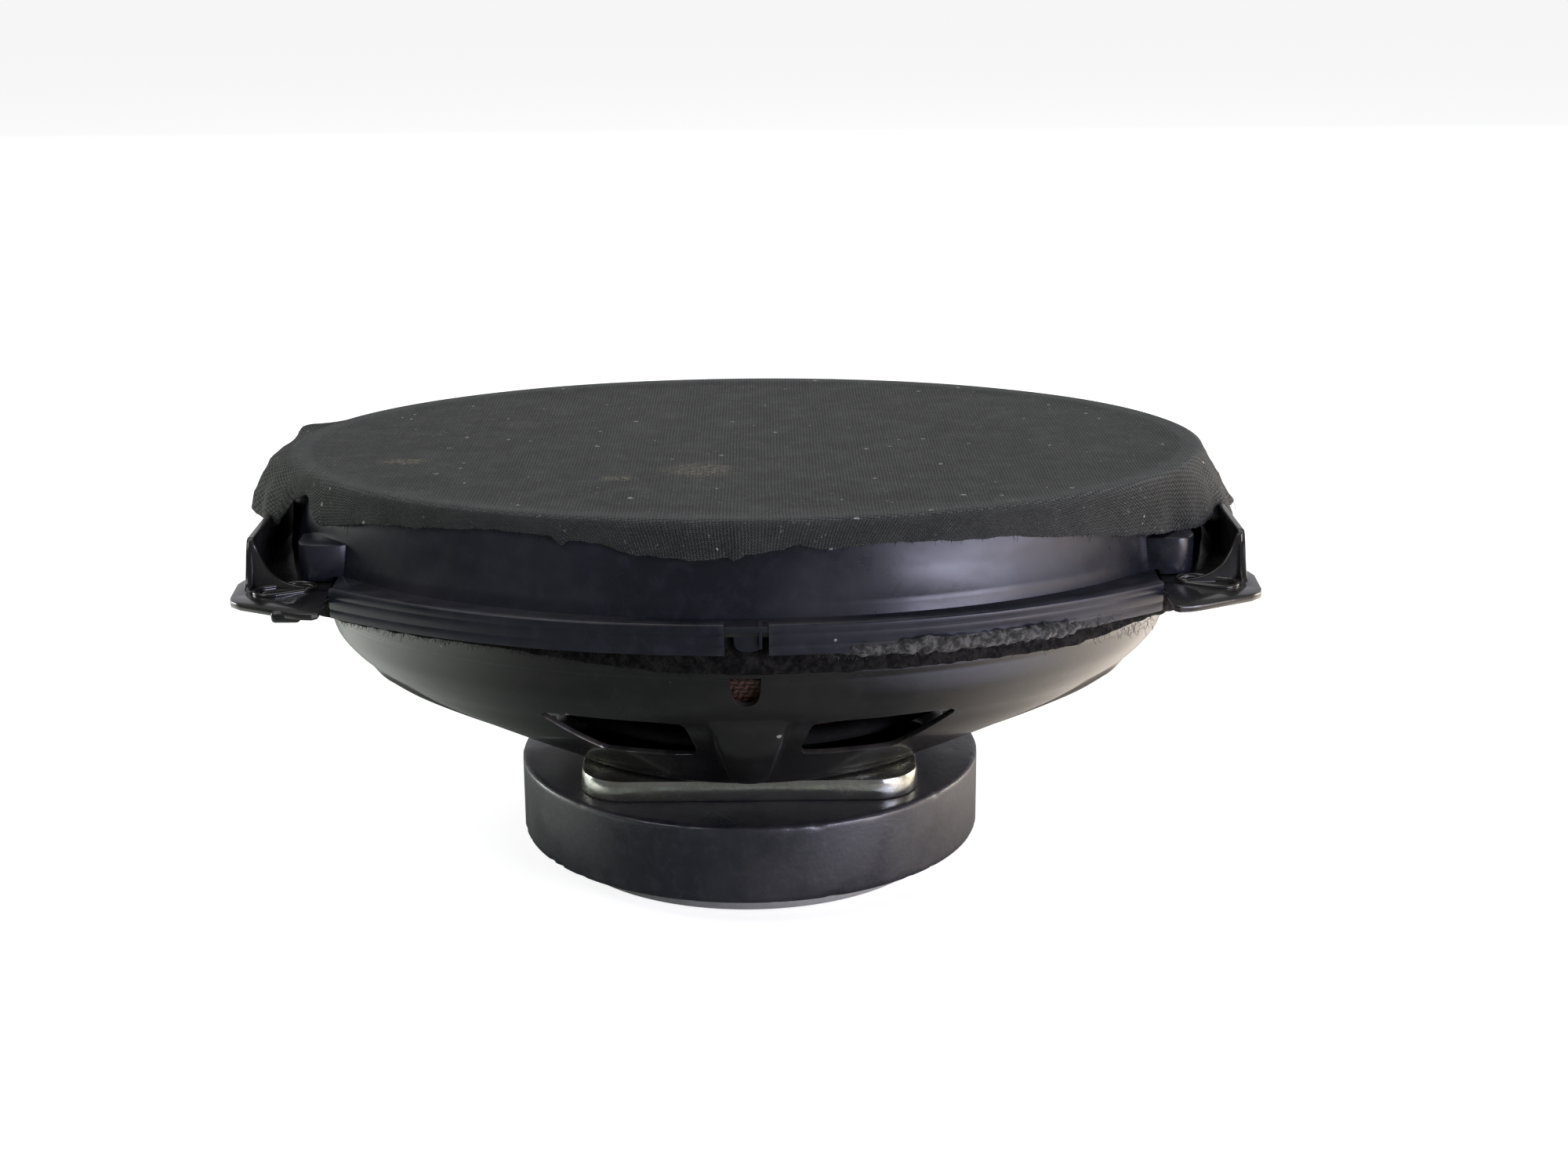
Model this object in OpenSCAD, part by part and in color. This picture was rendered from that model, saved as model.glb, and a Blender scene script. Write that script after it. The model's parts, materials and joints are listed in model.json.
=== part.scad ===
// Coaxial car speaker, six by nine inch class: round ferrite motor, stamped oval basket,
// clipped trim ring under a stretched cloth, and a small tweeter on a centre post.
// Millimetres, +Z up. The back plate stands on Z = 0 and the motor axis is the Z axis.

/* [Motor] */
// Thickness of the back plate under the magnet
yoke_t = 5.7; // [4:0.1:8]
// Radius of the back plate
yoke_r = 43.5; // [38:0.5:52]
// Radius of the ferrite ring
magnet_r = 55; // [45:0.5:62]
// Height of the ferrite ring
magnet_t = 18.2; // [12:0.1:24]
// Half side of the square front plate
plate_half = 39; // [34:0.5:46]
// Thickness of the front plate
plate_t = 5.1; // [4:0.1:8]
// Corner radius of the front plate
plate_corner = 10.5; // [4:0.5:16]
// Radius of the pole piece
pole_r = 18.7; // [12:0.1:25]
// Radius of the hole in the front plate
gap_r = 20.9; // [14:0.1:27]

/* [Basket] */
// Height of the top face of the mounting flange
flange_z = 78.3; // [60:0.1:95]
// Sheet thickness of flange and ears
flange_t = 1.5; // [1:0.1:2.5]
// Half width of the flange across the middle
flange_half_y = 82.5; // [70:0.5:90]
// Radius of the long flange sides in plan
flange_arc = 150; // [120:1:250]
// Half length of the flange between the ears
flange_half_x = 108.9; // [95:0.1:118]
// Slot centre from the middle along X
slot_x = 100; // [90:0.5:108]
// Slot centre from the middle along Y
slot_y = 49.5; // [40:0.5:60]
// Width of the ear slots
slot_w = 6; // [4:0.1:8]
// Length of the ear slots
slot_l = 12.5; // [6:0.1:18]
// Angle of the slots from X, each pointing outward
slot_turn = 29; // [0:1:45]
// Height of the upright lip at each end, above the flange
lip_h = 10; // [4:0.5:14]

/* [Trim ring and cloth] */
// Top of the cloth
rim_z = 99.5; // [85:0.1:120]
// Half length of the rim
rim_a = 105.6; // [90:0.1:115]
// Half width of the rim
rim_b = 74.3; // [60:0.1:85]
// Half length at the foot of the ring wall
foot_a = 106.9; // [95:0.1:112]
// Half width at the foot of the ring wall
foot_b = 79; // [65:0.1:85]
// Wall thickness of the ring
ring_wall = 2.2; // [1.2:0.1:4]
// Cloth thickness
cloth_t = 0.6; // [0.3:0.1:1.5]
// Half length of the clip skirts
skirt_half = 89.5; // [60:1:95]

/* [Moving system] */
// Half length of the cone at its edge
cone_a = 88; // [75:0.5:95]
// Ratio of width to length in the cone edge and surround
oval_ratio = 0.715; // [0.6:0.005:0.8]
// Inner radius of the coil former
former_r = 19.1; // [12:0.1:26]
// Radius of the spider
spider_r = 51.4; // [40:0.1:55]

/* [Tweeter] */
// Radius of the tweeter housing
tweeter_r = 22; // [16:0.5:28]
// Radius of the tweeter dome
dome_r = 12.5; // [8:0.5:16]

/* [Hidden] */
$fn = 72;
plate_z = yoke_t + magnet_t;
floor_z = plate_z + plate_t;
sheet = 1.2;

steel_black = [0.09, 0.09, 0.10];
zinc = [0.74, 0.74, 0.69];
plastic_navy = [0.10, 0.11, 0.16];
brass_c = [0.78, 0.66, 0.36];

// ---- helpers ----

function sg(v) = v < 0 ? -1 : 1;
function ovalpt(a, b, n, t) = [a * sg(cos(t)) * pow(abs(cos(t)), 2 / n), b * sg(sin(t)) * pow(abs(sin(t)), 2 / n)];

// solid through oval sections, each [z, half length, half width]
module loft(st, k = 64, n = 2) {
  m = len(st);
  pts = [for (s = st) for (j = [0 : k - 1]) let (p = ovalpt(s[1], s[2], n, 360 * j / k)) [p[0], p[1], s[0]]];
  polyhedron(points = pts, faces = concat(
    [[for (j = [0 : k - 1]) j]],
    [[for (j = [0 : k - 1]) (m - 1) * k + k - 1 - j]],
    [for (i = [0 : m - 2]) for (j = [0 : k - 1]) [i * k + j, (i + 1) * k + j, (i + 1) * k + (j + 1) % k]],
    [for (i = [0 : m - 2]) for (j = [0 : k - 1]) [i * k + j, (i + 1) * k + (j + 1) % k, i * k + (j + 1) % k]]
  ), convexity = 6);
}

module tube(r1, r0, h) {
  difference() {
    cylinder(r = r1, h = h);
    translate([0, 0, -1]) cylinder(r = r0, h = h + 2);
  }
}

module oval(a, b, h) {
  scale([1, b / a, 1]) cylinder(r = a, h = h, $fn = 96);
}

module oval_tube(a1, b1, a0, b0, h) {
  difference() {
    oval(a1, b1, h);
    translate([0, 0, -1]) oval(a0, b0, h + 2);
  }
}

module round_rect(x, y, r) {
  square([2 * (x - r), 2 * y], center = true);
  square([2 * x, 2 * (y - r)], center = true);
  for (i = [-1, 1], j = [-1, 1]) translate([i * (x - r), j * (y - r)]) circle(r = r);
}

// plan of the flange: two long arcs closed by straight ends; d moves the edge inward
module flange_plan(d, half_x) {
  c = flange_arc - flange_half_y;
  intersection() {
    translate([0, c]) circle(r = flange_arc - d, $fn = 96);
    translate([0, -c]) circle(r = flange_arc - d, $fn = 96);
    square([2 * half_x, 400], center = true);
  }
}

module slot(l, w) {
  square([l - w, w], center = true);
  for (i = [-1, 1]) translate([i * (l - w) / 2, 0]) circle(r = w / 2, $fn = 32);
}

module quarters() {
  for (i = [0, 1], j = [0, 1]) mirror([i, 0, 0]) mirror([0, j, 0]) children();
}

module bar(a, b, r) {
  d = b - a;
  l = norm(d);
  translate(a) rotate([0, acos(d[2] / l), atan2(d[1], d[0])]) cylinder(r = r, h = l, $fn = 16);
}

module path(pts, r) {
  for (i = [0 : len(pts) - 2]) bar(pts[i], pts[i + 1], r);
  for (i = [1 : len(pts) - 2]) translate(pts[i]) sphere(r = r * 1.2, $fn = 16);
}

// ---- motor ----

module yoke() {
  color(zinc) difference() {
    union() {
      translate([0, 0, 0.6]) cylinder(r = yoke_r, h = yoke_t - 0.6);
      cylinder(r1 = yoke_r - 0.6, r2 = yoke_r, h = 0.6);
      cylinder(r = pole_r, h = floor_z);
    }
    translate([0, 0, -1]) cylinder(r = 2.7, h = floor_z + 2, $fn = 32);
    translate([0, 0, -1]) cylinder(r = 5.2, h = 5.5, $fn = 32);
  }
}

module magnet() {
  color([0.20, 0.20, 0.22]) translate([0, 0, yoke_t]) rotate_extrude($fn = 96)
    polygon([[30, 0], [magnet_r - 0.8, 0], [magnet_r, 0.8], [magnet_r, magnet_t - 0.8], [magnet_r - 0.8, magnet_t], [30, magnet_t]]);
}

module top_plate() {
  color(zinc) translate([0, 0, plate_z]) difference() {
    union() {
      linear_extrude(height = plate_t - 0.7) round_rect(plate_half, plate_half, plate_corner);
      linear_extrude(height = plate_t) round_rect(plate_half - 0.8, plate_half - 0.8, plate_corner - 0.8);
    }
    translate([0, 0, -1]) cylinder(r = gap_r, h = plate_t + 2, $fn = 96);
    for (a = [45 : 90 : 359]) rotate([0, 0, a]) translate([30, 0, -1]) cylinder(r = 2.2, h = plate_t + 2, $fn = 32);
  }
}

// ---- basket ----

bowl = [[floor_z, 39, 39], [floor_z + 1.2, 45, 40.2], [35, 61, 46], [43, 79, 54.5], [48.5, 88, 59], [51, 91.8, 61.3], [54, 95, 64], [58, 97.8, 67.2], [63, 99.6, 70], [68, 100.2, 71.6], [flange_z, 100.4, 72]];
bowl_in = [for (s = bowl) [s[0] + (s[0] < 50 ? sheet : 0.4), s[1] - (s[0] < 50 ? 0.7 : 1.05), s[2] - (s[0] < 50 ? 0.7 : 1.05)]];
boss = [for (s = bowl) [s[0] - (s[0] < 34 || s[0] > 70 ? 0 : 1.1), s[1] + 1.2, s[2] + 1.2]];

module window_cut() {
  translate([0, -24, 0]) rotate([90, 0, 0]) linear_extrude(height = 60)
    polygon([[14.2, 39.4], [31, 39.1], [33.4, 40.2], [44.8, 49.0], [45.4, 50.4], [44.2, 51.2], [15.2, 50.3], [13.6, 48.8], [12.8, 41]]);
}

module ear_plan() {
  difference() {
    polygon([[89.9, -30], [89.9, -67], [91, -68.1], [93.4, -67.8], [95.8, -66.8], [107.6, -60.4], [110, -58], [110.8, -55], [111.4, -44.6], [110.6, -41.4], [108.9, -38], [108, -30]]);
    translate([slot_x, -slot_y]) rotate([0, 0, -slot_turn]) slot(slot_l, slot_w);
  }
}

module basket() {
  color(steel_black) difference() {
    union() {
      difference() {
        union() {
          loft(bowl);
          intersection() {
            loft(boss);
            translate([0, 0, 29]) linear_extrude(height = 22) union() {
              polygon([[-11.4, -80], [11.4, -80], [5.2, -36], [-5.2, -36]]);
              polygon([[-11.4, 80], [11.4, 80], [5.2, 36], [-5.2, 36]]);
              polygon([[-110, -27], [-40, -12], [-40, 12], [-110, 27]]);
              polygon([[110, -27], [40, -12], [40, 12], [110, 27]]);
            }
          }
        }
        loft(bowl_in);
        quarters() window_cut();
        // small shield-shaped vent in the front wall
        translate([0, -55, 0]) rotate([90, 0, 0]) linear_extrude(height = 25) union() {
          translate([-3.6, 58.8]) square([7.2, 3.9]);
          translate([0, 58.8]) circle(r = 3.6, $fn = 32);
        }
      }
      difference() {
        translate([0, 0, flange_z - flange_t]) linear_extrude(height = flange_t) union() {
          flange_plan(0, flange_half_x);
          quarters() ear_plan();
        }
        translate([0, 0, flange_z - 4]) oval(97.6, 71.4, 8);
        quarters() translate([slot_x, -slot_y, flange_z - 4]) rotate([0, 0, -slot_turn]) linear_extrude(height = 8) slot(slot_l, slot_w);
      }
      // raised rims round the slots
      quarters() translate([slot_x, -slot_y, flange_z - 0.2]) rotate([0, 0, -slot_turn]) linear_extrude(height = 0.9) difference() {
        slot(slot_l + 3, slot_w + 3);
        slot(slot_l, slot_w);
      }
      // upright end lips with their gussets
      for (i = [0, 1]) mirror([i, 0, 0]) {
        translate([flange_half_x - 1.5, -44, flange_z - flange_t]) cube([1.5, 88, lip_h + flange_t]);
        for (j = [0, 1]) mirror([0, j, 0]) translate([flange_half_x - 1.5, -44.8, 0]) rotate([90, 0, 90]) linear_extrude(height = 1.5)
          polygon([[-9, flange_z - 0.2], [-4, flange_z + 1.6], [-1.2, flange_z + 5], [0.9, flange_z + lip_h], [0.9, flange_z - 0.2]]);
      }
      // lugs that carry the terminal board
      for (i = [-1, 1]) translate([i * 10.8 - 1.5, 55, 45.6]) cube([3, 9, 5]);
    }
    // ways through the rear wall for the braid
    for (i = [-1, 1]) translate([i * 5 - 1.5, 46, 50]) cube([3, 22, 4]);
    translate([0, 0, floor_z - 1]) cylinder(r = 22, h = 6, $fn = 96);
    for (a = [45 : 90 : 359]) rotate([0, 0, a]) translate([30, 0, floor_z - 1]) cylinder(r = 2.2, h = 4, $fn = 32);
  }
}

module basket_rivets() {
  color(zinc) for (a = [45 : 90 : 359]) rotate([0, 0, a]) translate([30, 0, 0]) {
    translate([0, 0, plate_z + 1]) cylinder(r = 2.2, h = plate_t + 0.3, $fn = 32);
    translate([0, 0, floor_z + sheet]) cylinder(r1 = 3.4, r2 = 2.6, h = 1.1, $fn = 32);
  }
}

module spider_ring() {
  color(steel_black) difference() {
    union() {
      translate([0, 0, floor_z + sheet]) cylinder(r = 38, h = 11.3);
      translate([0, 0, 41.1]) cylinder(r = 50, h = 1.2);
    }
    translate([0, 0, floor_z]) cylinder(r = 36.6, h = 16);
  }
}

// ---- moving system ----

module spider() {
  z = 42.4;
  t = 0.6;
  wave = [for (i = [1 : 11]) [spider_r - 5.4 - i * 2.1, z + i * 0.1 + (i % 2 == 1 ? 1.9 : 0)]];
  color([0.48, 0.27, 0.20]) rotate_extrude($fn = 96) polygon(concat(
    [[spider_r, z], [spider_r, z + t], [spider_r - 5.4, z + t]],
    [for (p = wave) [p[0], p[1] + t]],
    [[former_r + 1, z + 1.8], [former_r + 1, z + 3.8], [former_r + 0.4, z + 3.8], [former_r + 0.4, z + 0.9]],
    [for (i = [10 : -1 : 0]) wave[i]],
    [[spider_r - 5.4, z]]
  ));
}

module former() {
  color([0.72, 0.55, 0.30]) translate([0, 0, 22]) tube(former_r + 0.3, former_r, 26);
}

module winding() {
  color([0.72, 0.36, 0.18]) translate([0, 0, 22.4]) tube(20.35, former_r + 0.3, 8.2);
}

module cone() {
  b = cone_a * oval_ratio;
  color([0.13, 0.12, 0.12]) difference() {
    loft([[46.9, 20.4, 20.4], [52, 31, 27.5], [64, 58, 44.5], [78.7, cone_a, b]], 96);
    loft([[46.5, 19.45, 19.45], [52.8, 30.6, 27.1], [64.8, 57.6, 44.1], [78.8, cone_a - 1, b - 1]], 96);
    for (i = [-1, 1]) translate([i * 5, 37, 59.2]) rotate([36, 0, 0]) translate([0, 0, -4]) cylinder(r = 0.92, h = 8, $fn = 24);
  }
}

module neck_glue() {
  color([0.55, 0.50, 0.42]) translate([0, 0, 48.1]) rotate_extrude() polygon([[19.45, 0], [21.6, 0.4], [19.45, 2.2]]);
}

module surround() {
  z = flange_z;
  mid = 92.4;
  arch = [for (t = [180 : -15 : 0]) [mid + 4.3 * cos(t), z + 1 + 4.3 * sin(t)]];
  under = [for (t = [0 : 15 : 180]) [mid + 3.6 * cos(t), z + 1 + 3.6 * sin(t)]];
  color([0.10, 0.10, 0.10]) scale([1, oval_ratio, 1]) rotate_extrude($fn = 96)
    polygon(concat([[mid - 7.6, z + 0.5], [mid - 7.6, z + 1.1]], arch, [[mid + 4.4, z + 0.8], [103.2, z + 0.8], [103.2, z], [mid + 5.4, z], [mid + 3.6, z + 0.3]], under, [[mid - 4, z + 0.5]]));
}

module lead_eyelets() {
  color(brass_c) for (i = [-1, 1]) translate([i * 5, 37, 59.2]) rotate([36, 0, 0]) difference() {
    union() {
      translate([0, 0, -1.6]) cylinder(r = 0.9, h = 3.6, $fn = 24);
      translate([0, 0, 1.0]) cylinder(r = 1.7, h = 0.5, $fn = 24);
    }
    translate([0, 0, -3]) cylinder(r = 0.4, h = 8, $fn = 24);
  }
}

// ---- front trim ----

module front_gasket() {
  color([0.28, 0.25, 0.21]) translate([0, 0, flange_z + 0.85]) scale([1, oval_ratio, 1]) tube(103.2, 97.6, 1.8, $fn = 96);
}

module skirt_band(r_out, r_in, z0, h) {
  translate([0, 0, z0]) linear_extrude(height = h) difference() {
    flange_plan(-r_out, skirt_half);
    flange_plan(-r_in, 300);
  }
}

module ring() {
  color(plastic_navy) difference() {
    union() {
      difference() {
        union() {
          loft([[flange_z + 0.05, foot_a, foot_b], [82.7, foot_a - 0.5, foot_b - 0.9], [rim_z - cloth_t - 1.2, rim_a + 0.1, rim_b + 0.1], [rim_z - cloth_t - 0.05, rim_a - 0.8, rim_b - 0.8]], 96);
          translate([0, 0, flange_z + 0.05]) linear_extrude(height = 8.5) round_rect(98.4, 44.6, 4.5);
        }
        loft([[flange_z - 1, foot_a - ring_wall, foot_b - ring_wall], [rim_z - 2.6, rim_a - ring_wall, rim_b - ring_wall]], 96);
      }
      // inward land that the cloth lies on
      difference() {
        translate([0, 0, rim_z - 3.1]) oval(rim_a - 1.2, rim_b - 1.2, 2.4);
        translate([0, 0, rim_z - 5]) oval(rim_a - 6, rim_b - 6, 8);
      }
      // shelf over the flange, outer skirt and hook under it
      difference() {
        translate([0, 0, flange_z + 0.05]) linear_extrude(height = 1.8) flange_plan(-2.4, skirt_half);
        translate([0, 0, flange_z - 1]) oval(foot_a - 1.5, foot_b - 1.5, 8);
      }
      skirt_band(2.4, 0.3, 73.4, 6.6);
      skirt_band(2.4, -2.6, 73.4, 3.1);
    }
    // key notch at the front and clip notches along the skirts
    translate([-4.6, -90, 73]) cube([9.2, 10, 7.6]);
    for (i = [-1, 1]) translate([i * 62 - 5, -90, 73]) cube([10, 30, 3.4]);
    for (i = [-62, 0, 62]) translate([i - 5, 60, 73]) cube([10, 30, 3.4]);
  }
}

module cloth() {
  color([0.16, 0.17, 0.17]) union() {
    translate([0, 0, rim_z - cloth_t]) oval(rim_a + 0.4, rim_b + 0.4, cloth_t);
    difference() {
      loft([[92.6, rim_a + 1.6, rim_b + 2.1], [rim_z - 1, rim_a + 0.9, rim_b + 0.9], [rim_z - 0.1, rim_a + 0.4, rim_b + 0.4]], 96);
      loft([[92.4, rim_a + 1.1, rim_b + 1.6], [rim_z - 1.2, rim_a + 0.2, rim_b + 0.2], [rim_z, rim_a + 0.15, rim_b + 0.15]], 96);
    }
    // the loose ends that hang over the upright lips
    intersection() {
      difference() {
        loft([[80, 113.8, 95], [89, 112.6, 90], [94, 109.8, 84], [97.5, 106.9, 79]], 48, 2.4);
        loft([[79.9, 113.1, 94.4], [89, 111.9, 89.4], [93.9, 109.1, 83.4], [97.6, 106.1, 78.4]], 48, 2.4);
      }
      for (i = [0, 1]) mirror([i, 0, 0]) translate([100, -21, 80]) cube([20, 42, 17.4]);
    }
  }
}

module cloth_glue() {
  color([0.62, 0.56, 0.42]) translate([0, 0, 95.8]) oval_tube(rim_a - 3.2, rim_b - 3.2, rim_a - 5.4, rim_b - 5.4, 0.6);
}

module foam_gasket() {
  color([0.22, 0.21, 0.21]) difference() {
    union() {
      translate([0, 0, 73.2]) linear_extrude(height = flange_z - flange_t - 73.2) flange_plan(3, 106.5);
      translate([0, 0, 70.2]) linear_extrude(height = 3.1) flange_plan(1.4, 107.6);
    }
    translate([0, 0, 69]) linear_extrude(height = 12) intersection() {
      flange_plan(7.6, 101.4);
    }
  }
}

module vent_mesh() {
  color([0.50, 0.30, 0.20]) translate([0, -65.2, 59]) rotate([35, 0, 0]) translate([-5, -0.2, -4.8]) cube([10, 0.4, 9.6]);
}

// ---- tweeter ----

module tweeter_post() {
  color([0.12, 0.12, 0.13]) difference() {
    union() {
      translate([0, 0, floor_z]) cylinder(r = 9, h = 2.5, $fn = 48);
      translate([0, 0, floor_z]) cylinder(r = 5, h = 52, $fn = 48);
    }
    translate([0, 0, floor_z - 1]) cylinder(r = 2.5, h = 19, $fn = 32);
  }
}

module post_bolt() {
  color(zinc) difference() {
    union() {
      translate([0, 0, 1]) cylinder(r = 4.6, h = 3.5, $fn = 48);
      translate([0, 0, 4]) cylinder(r = 2.45, h = floor_z + 11, $fn = 32);
    }
    translate([0, 0, -1]) cylinder(r = 2.4, h = 4.2, $fn = 6);
  }
}

module post_felt() {
  color([0.20, 0.20, 0.20]) translate([0, 0, 49]) tube(10, 5.05, 5);
}

module tweeter_housing() {
  color([0.07, 0.07, 0.08]) difference() {
    union() {
      translate([0, 0, 81]) cylinder(r1 = 15, r2 = tweeter_r, h = 6);
      translate([0, 0, 87]) cylinder(r = tweeter_r, h = 7.4);
      translate([0, 0, 75]) cylinder(r1 = 7, r2 = 9, h = 7, $fn = 48);
    }
    translate([0, 0, 83.2]) cylinder(r1 = 15.2, r2 = tweeter_r - 1.8, h = 4.6);
    translate([0, 0, 87.7]) cylinder(r = tweeter_r - 1.8, h = 8);
    translate([0, 0, 74]) cylinder(r = 5.05, h = 7.05, $fn = 48);
  }
}

module tweeter_yoke() {
  color(zinc) translate([0, 0, 83.2]) difference() {
    cylinder(r = 14, h = 7);
    translate([0, 0, 1.5]) cylinder(r = 11.9, h = 8);
  }
}

module tweeter_magnet() {
  color([0.55, 0.55, 0.58]) translate([0, 0, 84.7]) cylinder(r = 10, h = 3.6);
}

module tweeter_plate() {
  color(zinc) translate([0, 0, 88.3]) cylinder(r = 10.4, h = 1.9);
}

module tweeter_dome() {
  s = dome_r;
  color([0.75, 0.72, 0.62]) translate([0, 0, 91]) difference() {
    union() {
      intersection() {
        translate([0, 0, -12.8]) sphere(r = 17, $fn = 96);
        cylinder(r = s - 0.8, h = 8);
      }
      cylinder(r = s + 2.6, h = 0.35);
    }
    intersection() {
      translate([0, 0, -13.15]) sphere(r = 17, $fn = 96);
      translate([0, 0, -0.5]) cylinder(r = s - 1.2, h = 8);
    }
  }
}

module tweeter_coil() {
  color([0.72, 0.36, 0.18]) translate([0, 0, 87.6]) tube(11.45, 10.85, 3.35);
}

module tweeter_face() {
  color([0.07, 0.07, 0.08]) translate([0, 0, 91.9]) difference() {
    union() {
      tube(tweeter_r - 1.85, 15.4, 2.2);
      translate([-tweeter_r + 2.4, -1, 4 - 0.2]) cube([2 * tweeter_r - 4.8, 2, 1.1]);
      for (i = [-1, 1]) translate([i * 17.8 - 1.6, -1, 1]) cube([3.2, 2, 3.2]);
      translate([0, 0, 3.8]) cylinder(r = 4, h = 1.1, $fn = 48);
    }
    translate([0, 0, 2]) cylinder(r = 1.2, h = 8, $fn = 24);
  }
}

// ---- electrical ----

module terminal_board() {
  color([0.35, 0.24, 0.14]) difference() {
    translate([-19, 64, 37]) cube([38, 1.6, 15]);
    for (i = [-1, 1]) translate([i * 10.8, 60, 48.2]) rotate([-90, 0, 0]) cylinder(r = 1.2, h = 9, $fn = 24);
  }
}

module terminal_rivets() {
  color(brass_c) for (i = [-1, 1]) translate([i * 10.8, 0, 48.2]) rotate([-90, 0, 0]) {
    translate([0, 0, 64]) cylinder(r = 1.2, h = 1.8, $fn = 24);
    translate([0, 0, 65.6]) cylinder(r1 = 2.3, r2 = 1.6, h = 0.9, $fn = 24);
  }
}

module spade(w) {
  translate([-w / 2, 65.6, 28.5]) difference() {
    union() {
      cube([w, 0.8, 15]);
      translate([w * 0.15, 0, 13]) cube([w * 0.7, 1.4, 3]);
    }
    translate([w / 2, -1, 4]) rotate([-90, 0, 0]) cylinder(r = 0.8, h = 3, $fn = 24);
  }
}

module spade_pos() {
  color(brass_c) translate([-11, 0, 0]) spade(6.3);
}

module spade_neg() {
  color(brass_c) translate([11, 0, 0]) spade(4.8);
}

module capacitor() {
  color([0.10, 0.16, 0.30]) translate([-8, 69.9, 44.8]) rotate([0, 90, 0]) union() {
    translate([0, 0, 0.8]) cylinder(r = 4.2, h = 14.4, $fn = 48);
    cylinder(r = 3.6, h = 16, $fn = 48);
    translate([0, 0, -2]) cylinder(r = 0.4, h = 20, $fn = 16);
  }
}

module tinsel_leads() {
  line = [[63.8, 51.2], [60.5, 52.1], [56, 51.3], [50, 52.6], [44.4, 55.6], [38.6, 57.0]];
  color(brass_c) for (i = [-1, 1]) translate([i * 5 - 0.6, 0, 0]) rotate([90, 0, 90]) linear_extrude(height = 1.2)
    polygon(concat(line, [for (k = [len(line) - 1 : -1 : 0]) [line[k][0] - 0.3, line[k][1] + 0.6]]));
}

module tweeter_leads() {
  color([0.60, 0.10, 0.08]) for (i = [-1, 1]) path([[i * 5, 35.5, 61.6], [i * 5.2, 30, 65], [i * 5.5, 24, 71], [i * 5.8, 18, 77.4], [i * 6, 14.2, 80.4]], 0.6);
}

yoke();
magnet();
top_plate();
basket();
basket_rivets();
spider_ring();
spider();
former();
winding();
cone();
neck_glue();
surround();
front_gasket();
ring();
cloth();
cloth_glue();
foam_gasket();
vent_mesh();
tweeter_post();
post_bolt();
post_felt();
tweeter_housing();
tweeter_yoke();
tweeter_magnet();
tweeter_plate();
tweeter_dome();
tweeter_coil();
tweeter_face();
terminal_board();
terminal_rivets();
spade_pos();
spade_neg();
capacitor();
tinsel_leads();
lead_eyelets();
tweeter_leads();
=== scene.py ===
import bpy, bmesh, json, math, random
from mathutils import Matrix, Vector, noise

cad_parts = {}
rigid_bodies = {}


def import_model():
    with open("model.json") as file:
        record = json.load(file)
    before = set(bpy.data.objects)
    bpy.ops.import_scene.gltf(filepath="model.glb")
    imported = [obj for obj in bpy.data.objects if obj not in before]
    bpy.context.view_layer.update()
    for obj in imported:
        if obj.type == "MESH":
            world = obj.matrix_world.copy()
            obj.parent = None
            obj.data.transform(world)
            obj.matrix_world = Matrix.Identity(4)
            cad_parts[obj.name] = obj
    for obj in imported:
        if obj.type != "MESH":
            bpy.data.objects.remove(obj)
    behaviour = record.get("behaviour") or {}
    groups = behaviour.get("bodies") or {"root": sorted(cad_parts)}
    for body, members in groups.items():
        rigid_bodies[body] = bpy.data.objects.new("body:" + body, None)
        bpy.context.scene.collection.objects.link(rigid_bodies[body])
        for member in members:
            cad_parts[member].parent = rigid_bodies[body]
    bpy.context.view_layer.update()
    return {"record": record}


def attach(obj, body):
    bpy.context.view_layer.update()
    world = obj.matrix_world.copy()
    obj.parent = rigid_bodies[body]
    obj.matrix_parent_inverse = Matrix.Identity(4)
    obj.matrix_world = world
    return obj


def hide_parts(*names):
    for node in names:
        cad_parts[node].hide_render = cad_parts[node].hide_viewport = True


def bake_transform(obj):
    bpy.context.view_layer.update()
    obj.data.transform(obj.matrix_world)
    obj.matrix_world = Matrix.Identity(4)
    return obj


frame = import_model()
scene = bpy.context.scene
mm = 0.001
fullTurn = 2 * math.pi
quarters = [(sx, sy) for sx in (1, -1) for sy in (1, -1)]
standAcross = Matrix(((0, 0, 1, 0), (1, 0, 0, 0), (0, 1, 0, 0), (0, 0, 0, 1)))  # an outline of (y, z) in a plane of X
standAlong = Matrix(((1, 0, 0, 0), (0, 0, -1, 0), (0, 1, 0, 0), (0, 0, 0, 1)))  # an outline of (x, z) in a plane of Y

cameraSettings = {"place": (0.00348, -0.54010, 0.22135), "target": (0.0085, 0.0, 0.06315), "roll": -0.37,
    "lens": 54.07}


def makeCamera(s):
    place, target = Vector(s["place"]), Vector(s["target"])
    back = (place - target).normalized()
    right = Vector((0, 0, 1)).cross(back).normalized()
    up = back.cross(right)
    r = math.radians(s["roll"])
    x = right * math.cos(r) + up * math.sin(r)
    y = up * math.cos(r) - right * math.sin(r)
    data = bpy.data.cameras.new("camera")
    data.lens, data.sensor_width = s["lens"], 36
    cam = bpy.data.objects.new("camera", data)
    scene.collection.objects.link(cam)
    cam.matrix_world = Matrix.Translation(place) @ Matrix((x, y, back)).transposed().to_4x4()
    scene.camera = cam


makeCamera(cameraSettings)
print("camera placed")


# small helpers for numbers and outlines, all in millimetres


def smoothStep(low, high, value):
    t = min(1, max(0, (value - low) / (high - low)))
    return t * t * (3 - 2 * t)


def tableValue(table, key, column):
    for a, b in zip(table, table[1:]):
        if key <= b[0]:
            t = max(0, (key - a[0]) / (b[0] - a[0]))
            return a[column] + (b[column] - a[column]) * t
    return table[-1][column]


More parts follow.
